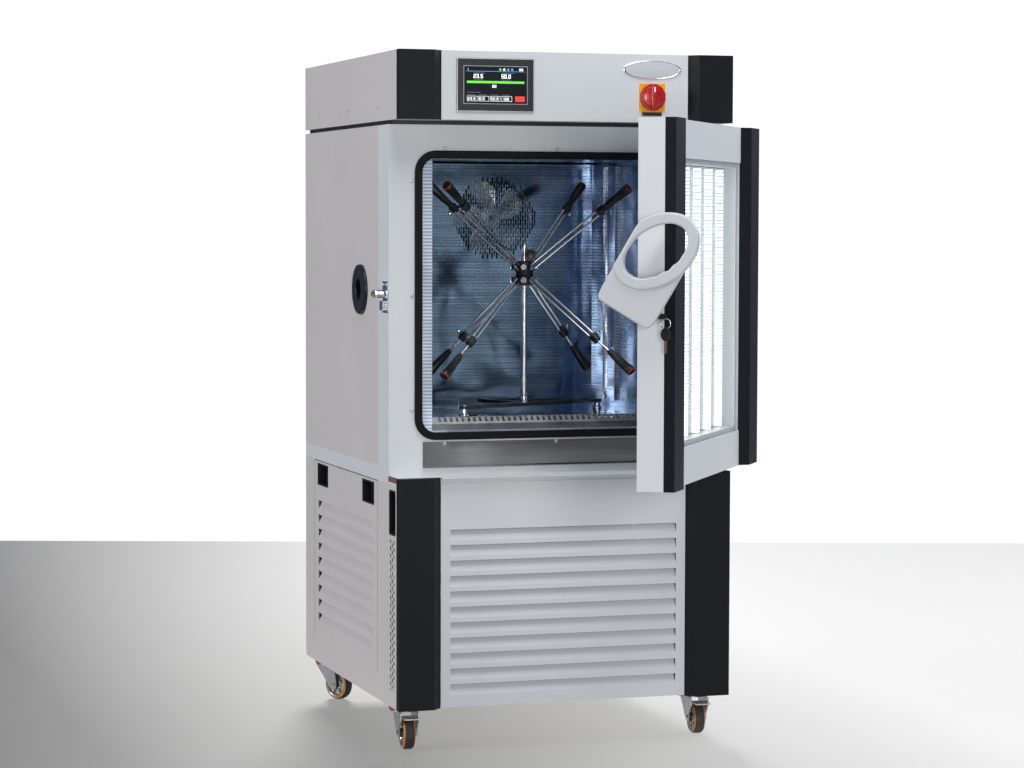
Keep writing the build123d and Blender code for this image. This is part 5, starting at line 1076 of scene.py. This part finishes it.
def buildStriker():
    # Bevelled boxes, then a ridged roller and bolt heads turned about lines that point left
    x, y, z = -425.0, 118.0, 1107.0
    plate = boxGroup("strikerPlate", [((x - 4, y - 21, z - 46.2), (x, y + 21, z + 30.8)),
                                      ((x - 14, y - 12, z - 40), (x - 4.01, y + 12, z - 16))],
                     materials["brightSteel"], bevel=1.0)
    place(plate, "cabinet", "bright_stainless", "striker")
    profile = [(0, 4), (9.6, 4), (10, 4.6), (10, 9)]
    for ridge in range(7):
        profile += [(10, 9.4 + 2.2 * ridge), (9.1, 10.2 + 2.2 * ridge), (10, 11.2 + 2.2 * ridge)]
    profile += [(10, 31), (8, 33.6), (5, 37), (0, 37)]
    pin = turnedGroup("strikerRoller", [((x, y, z), (-1, 0, 0), profile)], materials["brightSteel"], 40)
    place(pin, "cabinet", "bright_stainless")
    boltHead = [(3.6, 0), (3.6, 1.4), (2.6, 2.2), (2, 2.2), (1.8, 1.2), (0, 1.2)]
    bolts = [((x - 4, y + dy, z + dz), (-1, 0, 0), boltHead) for dy in (-14, 14) for dz in (-8, 22)]
    place(turnedGroup("strikerBolts", bolts, materials["zinc"], 16), "cabinet", "galvanised")


def buildPort():
    # Ring and sleeve turned from a profile of (radius, distance outwards from the wall)
    x, y, z = -425.0, 354.0, 1112.6
    profile = [(26.5, -106), (26.5, 8.4), (28.0, 9.6), (34, 9.9), (36, 9.0), (38, 9.9), (56, 9.9),
               (60.5, 9.0), (62.3, 6.6), (62.5, 3.0), (62.5, 0.0), (28.5, 0.0), (28.5, -108),
               (42, -108), (42, -110.6), (26.5, -110.8)]
    ring = turnedGroup("portRing", [((x, y, z), (-1, 0, 0), profile)], materials["blackPlastic"], 72)
    place(ring, "cabinet", "black_plastic", "access_port")


buildKeys()
buildStriker()
buildPort()
print("latch and port built")

# Lit window: rows of small lamps on each bar, standing through a pale pleated backing
windowShape = {"count": 5, "pitch": 115.0, "front": 47.2, "bottom": 786.0, "top": 1412.0, "lampPitch": 8.2,
               "halfWidth": 7.6, "halfHeight": 2.7, "back": 65.0, "finHalf": 300.0, "finFront": 62.0,
               "fold": 1.6, "perFold": 4}


def buildWindowLamps():
    # One box for each lamp: bars side by side, and an even pitch up each bar
    low, high = windowShape["bottom"], windowShape["top"]
    halfWidth, halfHeight = windowShape["halfWidth"], windowShape["halfHeight"]
    rows = int((high - low) / windowShape["lampPitch"])
    boxes = []
    for bar in range(windowShape["count"]):
        x = windowShape["pitch"] * (bar - (windowShape["count"] - 1) / 2)
        for row in range(rows):
            z = low + windowShape["lampPitch"] * (row + 0.5)
            boxes.append(((x - halfWidth, windowShape["front"], z - halfHeight),
                          (x + halfWidth, windowShape["back"], z + halfHeight)))
    lamps = boxGroup("windowLamps", boxes, materials["ledGlow"], pose=swingOpen)
    place(lamps, "door", "led", "led_strips")


def buildWindowFins():
    # Pleated diffuser: depth swings along the height in small even folds
    folds = int((windowShape["top"] - windowShape["bottom"]) / windowShape["lampPitch"])
    rows = folds * windowShape["perFold"] + 1
    z = np.linspace(windowShape["bottom"], windowShape["top"], rows)
    x = np.linspace(-windowShape["finHalf"], windowShape["finHalf"], 3)
    zz, xx = np.meshgrid(z, x, indexing="ij")
    swing = np.abs(((zz - z[0]) / windowShape["lampPitch"]) % 1.0 - 0.5) * 2
    y = windowShape["finFront"] + windowShape["fold"] * swing
    points = np.stack([xx, y, zz], -1)
    # The backing carries painted light: it glows, though the lamps stand in front of it
    fins = meshObject("windowFins", toMetres(swingOpen(points)), gridFaces(rows, 3, False, False),
                      materials["ledBackingPaintedGlow"], smooth=False)
    wall = fins.modifiers.new("wall", "SOLIDIFY")
    wall.thickness = 0.001
    place(fins, "door", "led")


buildWindowLamps()
buildWindowFins()
print("window built")


# Studio: pale floor that ends behind the chamber, white beyond, soft lamps
studio = {"floorEnd": 11.30, "floorStart": -3.0, "halfWidth": 9.0, "ramp": (-1.1, 1.1),
          "roomTint": (0.060, 0.093, 0.186, 1), "backdrop": (1.05, 1.05, 1.05, 1),
          "lampColor": (1.0, 0.985, 0.955)}


def studioSheet(name, corners, material):
    mesh = bpy.data.meshes.new(name)
    mesh.from_pydata(corners, [], [(0, 1, 2, 3)])
    mesh.materials.append(material)
    sheet = bpy.data.objects.new(name, mesh)
    bpy.context.scene.collection.objects.link(sheet)


def floorMaterial():
    # Painted shade: grey on the left that pales to the right, as an even ramp over the floor's own width.
    # Part of the shade glows by itself as painted light, so the floor stays pale far from the lamps.
    material, tree, shader = newSurface("paintedLightFloor")
    shader.inputs["Roughness"].default_value = 0.6
    factor = rangeNode(tree, objectAxis(tree, "X"), *studio["ramp"], 0.0, 1.0)
    shade = mixColors(tree, factor, (0.030, 0.0295, 0.0285, 1), (0.13, 0.128, 0.124, 1))
    tree.links.new(shade, shader.inputs["Base Color"])
    paintedGlow = mixColors(tree, factor, (0.10, 0.0985, 0.096, 1), (0.68, 0.677, 0.67, 1))
    tree.links.new(paintedGlow, shader.inputs["Emission Color"])
    shader.inputs["Emission Strength"].default_value = 1.0
    return material


def addStudio():
    yaw = lens["yaw"]
    ahead, right = Vector((math.sin(yaw), math.cos(yaw), 0)), Vector((math.cos(yaw), -math.sin(yaw), 0))
    foot = Vector(toMetres(lens["place"]))
    foot.z = 0
    wide = right * studio["halfWidth"]
    near, far = foot + ahead * studio["floorStart"], foot + ahead * studio["floorEnd"]
    studioSheet("studioFloor", [near - wide, near + wide, far + wide, far - wide], floorMaterial())

    # The eye sees a white backdrop, while surfaces are lit and mirror a dim blue room
    world = bpy.data.worlds.new("studio")
    world.use_nodes = True
    tree = world.node_tree
    background = tree.nodes["Background"]
    eye = tree.nodes.new("ShaderNodeLightPath")
    tint = mixColors(tree, eye.outputs["Is Camera Ray"], studio["roomTint"], studio["backdrop"])
    tree.links.new(tint, background.inputs["Color"])
    bpy.context.scene.world = world

    softboxes = {
        "overhead": {"place": (0.0, -1.8, 4.6), "aim": (0, 0, 0.8), "size": (2.6, 2.6), "power": 115},
        "front": {"place": (-0.4, -7.2, 1.8), "aim": (0.0, -0.3, 0.9), "size": (1.5, 1.6), "power": 120},
        "frontLeft": {"place": (-7.0, -0.6, 2.6), "aim": (0, 0, 1.2), "size": (2.4, 2.4), "power": 315},
        "floorRight": {"place": (3.6, 0.6, 3.0), "aim": (2.6, 0.2, 0.0), "size": (2.0, 2.0), "power": 120},
        "behind": {"place": (1.2, 6.4, 3.4), "aim": (0, 0, 0.9), "size": (2.4, 2.0), "power": 230},
        "besideCamera": {"place": (-1.62, -6.9, 0.95), "aim": (0.2, -0.3, 1.0), "size": (0.42, 1.7),
                         "power": 26},
        "rightStrip": {"place": (1.84, -6.9, 0.7), "aim": (0.0, -0.4, 0.7), "size": (0.12, 2.4), "power": 7},
    }
    for name, box in softboxes.items():
        light = bpy.data.lights.new(name, "AREA")
        light.energy = box["power"]
        light.shape = "RECTANGLE"
        light.size, light.size_y = box["size"]
        light.color = studio["lampColor"]
        lamp = bpy.data.objects.new(name, light)
        bpy.context.scene.collection.objects.link(lamp)
        lamp.location = box["place"]
        lamp.visible_camera = False
        direction = Vector(box["aim"]) - Vector(box["place"])
        lamp.rotation_euler = direction.to_track_quat("-Z", "Y").to_euler()


addStudio()
bpy.context.scene.view_settings.view_transform = "Standard"
print("studio lit")
